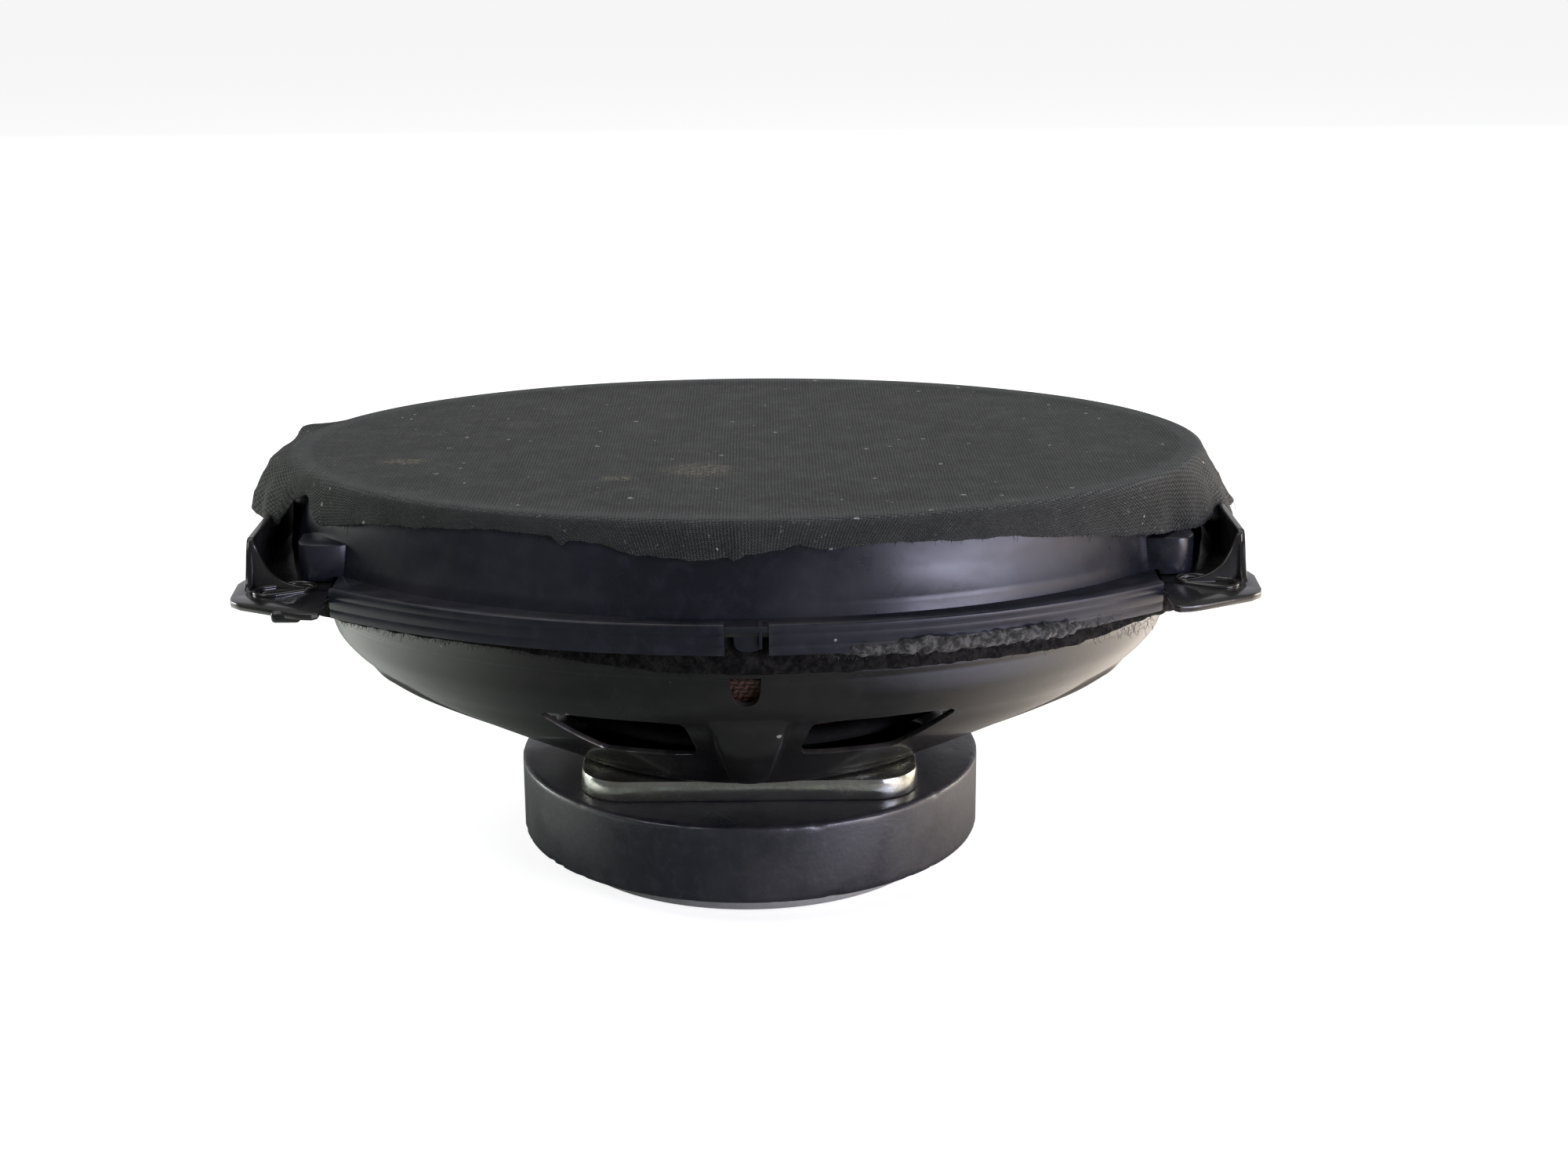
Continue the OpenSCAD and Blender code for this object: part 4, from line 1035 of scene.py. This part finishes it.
def makeGasket(s):
    def planOutline(inset, halfX, count=220):
        r = s["arc"] - inset
        sweep = math.degrees(math.asin(min(1, halfX / r)))
        front = arcPoints((0, s["centre"]), r, -90 - sweep, -90 + sweep, count)
        return front + [(-x, -y) for x, y in front]

    bm = plateMesh([planOutline(1.0, 106.9), planOutline(7.4, 101.6)], s["low"], s["high"], 1.1)
    bmesh.ops.triangulate(bm, faces=[f for f in bm.faces if len(f.verts) > 4])
    bmesh.ops.subdivide_edges(bm, edges=[e for e in bm.edges if e.calc_length() > 1.6], cuts=2, use_grid_fill=True)
    bm.normal_update()
    for v in bm.verts:
        v.co += v.normal * (0.45 * noise.noise(v.co * 0.35) + 0.3 * noise.noise(v.co * 1.4))
        # squeezed thinner towards the front corners
        squeeze = 0.42 * smoothStep(-8, -60, v.co.x) + 0.36 * smoothStep(66, 92, v.co.x)
        v.co.z += (s["high"] - v.co.z) * squeeze * (1 - smoothStep(-40, -20, v.co.y))
    piece = makePiece("foam_strip", bm, "foam", "foam_gasket", 180)

    # torn light fluff that bulges out below the skirt on the right
    bm = bmesh.new()
    rng = random.Random(5)
    start, end = math.asin(s["fluffStart"] / s["arc"]), math.asin(s["fluffEnd"] / s["arc"])
    profile = ovalPoints(*s["fluffHalf"], 14)
    spinArc(bm, [(150.8 + r, 74.2 + z) for r, z in profile], s["centre"], start, end, 190)
    for v in bm.verts:
        along = (math.atan2(v.co.x, s["centre"] - v.co.y) - start) / (end - start)
        swell = smoothStep(0, 0.10, along) * (1 - smoothStep(0.72, 1.0, along))
        swell *= 0.8 + 0.5 * noise.noise(Vector((v.co.x * 0.09, 0, 2)))
        radial = Vector((v.co.x, v.co.y - s["centre"], 0)).normalized()
        core = Vector((0, s["centre"], 73.6 + 0.4 * swell)) + radial * 150.4
        tear = Vector((noise.noise(v.co * 0.5), noise.noise(v.co * 0.5 + Vector((9, 0, 0))),
            noise.noise(v.co * 0.6 + Vector((0, 9, 0)))))
        v.co = core + (v.co - core) * (0.35 + 0.85 * swell) + tear * 0.75 * (0.3 + swell)
    bm.normal_update()
    fluff = makePiece("torn_fluff", bm, "foam", "foam_gasket", 180, finish=["fluff"])

    # loose fibres along the whole visible strip
    bm = bmesh.new()
    threads = []
    for i in range(s["tufts"]):
        x = rng.uniform(-88, 88)
        light = s["fluffX"][0] < x < s["fluffX"][1] and rng.random() < 0.75
        r = 148.2 + (rng.uniform(2.6, 4.6) if light else rng.uniform(0, 1.2))
        z = rng.uniform(72.2, 75.6) if light else rng.uniform(68.8 + 3.2 * smoothStep(-8, -60, x), 73.2)
        root = Vector((x, s["centre"] - math.sqrt(r * r - x * x), z))
        reach = rng.uniform(0.5, 1.5)
        way = Vector((rng.uniform(-1, 1), rng.uniform(-1.1, 0.0), rng.uniform(-1, 0.45))).normalized()
        bend = Vector((rng.uniform(-0.6, 0.6), rng.uniform(-0.3, 0.3), rng.uniform(-0.6, 0.3)))
        threads.append([root, root + way * reach * 0.5, root + (way + bend * 0.6) * reach])
    addThreads(bm, threads, 0.045)
    for f in bm.faces:
        c = f.calc_center_median()
        f.material_index = 1 if s["fluffX"][0] < c.x < s["fluffX"][1] and c.z > 72.3 else 0
    makePiece("gasket_fibres", bm, "foam", "foam_gasket", 180, finish=["foam", "fluff"])


makeGasket(gasketSettings)
print("gasket made")

movingSettings = {"wedges": 12, "surroundRatio": 0.715, "surroundMid": 92.4, "surroundLow": 78.3, "archRadius": 4.0}


def makeWedges(name, slot, profile, ratio, count, steps):
    # a round or oval roll made in equal sectors, each its own piece
    step = 360 / count
    for k in range(count):
        middle = math.radians(step * (k + 0.5))
        bm = bmesh.new()
        spinOval(bm, [(r, r * ratio, z) for r, z in profile], steps, True, step * k, step)
        bmesh.ops.holes_fill(bm, edges=[e for e in bm.edges if e.is_boundary], sides=0)
        bmesh.ops.recalc_face_normals(bm, faces=bm.faces)
        piece = makePiece(f"{name}_{k + 1:02d}", bm, slot, name, 60, None)
        way = Vector((math.cos(middle), math.sin(middle) / ratio, 0))
        way /= way.length_squared
        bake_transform(piece)


def thickLine(points, thickness):
    # a closed band round an open line of (radius, height)
    return points + [(r, z + thickness) for r, z in reversed(points)]


def makeMovingParts(s):
    flat = [(51.3, 42.45), (48.5, 42.45), (46.4, 42.5)]
    waves = []
    for k in range(61):
        t = k / 60
        r = 46.2 - t * (46.2 - 21.4)
        waves.append((r, 42.5 + t * 1.0 + 0.95 * (1 - math.cos(fullTurn * 5.5 * t)) * 0.98))
    neck = [(20.4, 43.9), (19.6, 44.6), (19.5, 46.0)]
    makeWedges("spider", "spider_cloth", thickLine(flat + waves + neck, 0.5), 1.0, s["wedges"], 8)

    bm = bmesh.new()
    spinRound(bm, [(45.4, 43.1), (45.8, 43.7), (47.5, 44.3), (50.2, 44.2), (51.5, 43.2), (51.5, 42.3), (49.8, 42.35),
        (49.8, 43.05), (46.0, 43.1)], 160, True)
    for v in bm.verts:
        v.co.z += 0.3 * max(0, noise.noise(v.co * 0.3)) if v.co.z > 43.4 else 0
    # the glue rim is given the painted shade black in place of the glue colour
    makePiece("spider_rim_glue", bm, "glue", "spider", 60, finish=["painted_shade_black"])

    z, mid = s["surroundLow"], s["surroundMid"]
    arch = arcPoints((mid, z + 1), s["archRadius"], 180, 0, 15)
    line = [(mid - 7.6, z + 0.5), (mid - 5.2, z + 0.5)] + [(arch[0][0], z + 0.6)] + arch[1:-1] + [(arch[-1][0] + 0.3,
        z + 0.5), (mid + 6, z + 0.1), (103.1, z + 0.1)]
    makeWedges("surround", "surround_rubber", thickLine(line, 0.6), s["surroundRatio"], s["wedges"], 16)

    bm = bmesh.new()
    line = smoothLine([(20.3, 20.3, 46.9), (31, 27.5, 52), (58, 44.5, 64), (87.9, 62.8, 78.65)], 1.2)
    spinOval(bm, line, 240)
    bm.normal_update()
    for v in bm.verts:  # shallow pressed rings
        share = (v.co.z - 47) / 31.7
        v.co.z += 0.16 * math.sin(share * 44) * smoothStep(0.04, 0.15, share) * (1 - smoothStep(0.85, 0.98, share))
    for f in bm.faces:
        if f.normal.z > 0:
            f.normal_flip()
    piece = makePiece("cone_shell", bm, "cone_paper", "cone", 60, "cone_assembly")
    addModifiers(piece, 0.75)

    # flat braided leads from the board to the cone
    bm = bmesh.new()
    for x in (-5, 5):
        line = smoothLine([(x, 63.8, 51.5), (x, 60.5, 52.4), (x, 56, 51.6), (x, 50, 52.9), (x, 44.4, 55.9),
            (x, 38.6, 57.3)], 0.9)
        for strand in range(3):
            path = []
            for i, p in enumerate(line):
                turn = i * 0.75 + strand * fullTurn / 3
                path.append((p[0] + 0.30 * math.sin(turn), p[1], p[2] + 0.16 * math.sin(2 * turn)))
            tubeMesh(bm, path, 0.28, 6)
    piece = makePiece("braided_leads", bm, "tin_brass", "tinsel_leads", 60, None)
    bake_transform(piece)

    bm = bmesh.new()
    for side in (-1, 1):
        line = smoothLine([(side * 5, 35.5, 61.6), (side * 5.2, 30, 65), (side * 5.5, 24, 71),
            (side * 5.8, 18, 77.4), (side * 6, 14.2, 80.4)], 1.0)
        tubeMesh(bm, line, 0.6, 10)
    piece = makePiece("red_wires", bm, "wire_red", "tweeter_leads", 60, None)
    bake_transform(piece)


makeMovingParts(movingSettings)
print("moving parts made")

stageSettings = {"floorHalf": 14.0, "world": 0.13, "floorLeft": (0.30, 0.33, 0.30), "floorRight": (0.95, 0.84, 0.74),
    # bright places on the table, seen only in reflections: centre, inner and outer radius, colour
    "glows": [((-0.27, 0.0, 0), 0.06, 0.22, (1.15, 1.2, 1.12)), ((0.25, 0.0, 0), 0.07, 0.22, (1.9, 1.68, 1.46)),
        ((-0.62, 0.40, 0), 0.2, 0.5, (1.3, 1.3, 1.3)), ((0.62, 0.40, 0), 0.2, 0.5, (1.6, 1.5, 1.4)),
        ((0.12, -0.12, 0), 0.02, 0.09, (1.1, 1.15, 1.6))],
    "lights": [
    {"place": (-0.2, 0.5, 1.4), "target": (0, 0, 0.05), "size": (1.2, 0.9), "power": 4.6, "colour": (1.0, 1.0, 0.98)},
    {"place": (0.95, -0.95, 0.30), "target": (0.05, 0, 0.08), "size": (0.70, 0.24), "power": 8.0,
        "colour": (0.76, 0.76, 1.0)},
    {"place": (-0.8, -0.6, 1.1), "target": (0, 0, 0.05), "size": (0.6, 0.5), "power": 2.8,
        "colour": (0.96, 0.97, 1.0)},
    {"place": (0, 1.7, 0.55), "target": (0, 0, 0.08), "size": (2.6, 0.8), "power": 3.0, "colour": (0.94, 0.94, 1.0)},
    {"place": (1.05, 0.35, 0.16), "target": (0, 0, 0.06), "size": (0.5, 0.3), "power": 4.0,
        "colour": (1.0, 0.92, 0.82)},
    {"place": (-1.05, 0.40, 0.16), "target": (0, 0, 0.06), "size": (0.5, 0.3), "power": 3.6,
        "colour": (0.98, 1.0, 0.96)},
    {"place": (0.75, -0.45, 0.02), "target": (0.03, 0, 0.06), "size": (0.45, 0.25), "power": 1.6,
        "colour": (1.0, 0.86, 0.74)},
]}


def makeStage(s):
    bm = bmesh.new()
    bmesh.ops.create_grid(bm, x_segments=1, y_segments=1, size=s["floorHalf"])
    bmesh.ops.translate(bm, vec=(0, 0, -0.0002), verts=bm.verts)
    mesh = bpy.data.meshes.new("floor")
    bm.to_mesh(mesh)
    bm.free()
    floor = bpy.data.objects.new("floor", mesh)
    scene.collection.objects.link(floor)
    material, tree, shader, place = startMaterial("floor")
    shader.inputs["Base Color"].default_value = (0.9, 0.9, 0.9, 1)
    shader.inputs["Roughness"].default_value = 0.9
    shader.inputs["Emission Color"].default_value = (1, 1, 1, 1)
    shader.inputs["Emission Strength"].default_value = 0.8
    # the object is lit by a plainer, darker floor, warm on the right
    across = addNode(tree, "ShaderNodeSeparateXYZ", Vector=place).outputs["X"]
    tone = addMix(tree, addRange(tree, across, -0.05, 0.35), s["floorLeft"], s["floorRight"])
    matt = addNode(tree, "ShaderNodeBsdfDiffuse", Color=tone)
    # away from the object it is as bright as a lit table top
    table = matt
    for centre, inner, outer, colour in s["glows"]:
        strength = addRange(tree, addVector(tree, "DISTANCE", place, centre), inner, outer, 1.0, 0.0)
        lit = addNode(tree, "ShaderNodeEmission", Color=(*colour, 1), Strength=strength)
        both = tree.nodes.new("ShaderNodeAddShader")
        tree.links.new(table.outputs[0], both.inputs[0])
        tree.links.new(lit.outputs[0], both.inputs[1])
        table = both
    rays = addNode(tree, "ShaderNodeLightPath")
    both = tree.nodes.new("ShaderNodeMixShader")
    tree.links.new(rays.outputs["Is Camera Ray"], both.inputs[0])
    tree.links.new(table.outputs[0], both.inputs[1])
    tree.links.new(shader.outputs[0], both.inputs[2])
    tree.links.new(both.outputs[0], tree.nodes["Material Output"].inputs["Surface"])
    mesh.materials.append(material)
    world = bpy.data.worlds.new("studio")
    scene.world = world
    world.use_nodes = True
    # white behind the object, dim as a light
    seen = addNode(world.node_tree, "ShaderNodeLightPath").outputs["Is Camera Ray"]
    strength = addMath(world.node_tree, "MULTIPLY_ADD", seen, 1.0 - s["world"], s["world"])
    background = world.node_tree.nodes["Background"]
    background.inputs[0].default_value = (1, 1, 1, 1)
    world.node_tree.links.new(strength, background.inputs[1])
    for k, row in enumerate(s["lights"]):
        data = bpy.data.lights.new(f"softbox{k}", "AREA")
        data.shape, data.size, data.size_y = "RECTANGLE", row["size"][0], row["size"][1]
        data.energy, data.color = row["power"], row["colour"]
        lamp = bpy.data.objects.new(f"softbox{k}", data)
        scene.collection.objects.link(lamp)
        lamp.visible_camera = False
        lamp.location = row["place"]
        lamp.rotation_euler = (Vector(row["target"]) - Vector(row["place"])).to_track_quat("-Z", "Y").to_euler()


makeStage(stageSettings)
scene.view_settings.view_transform = "Standard"
print("stage set")
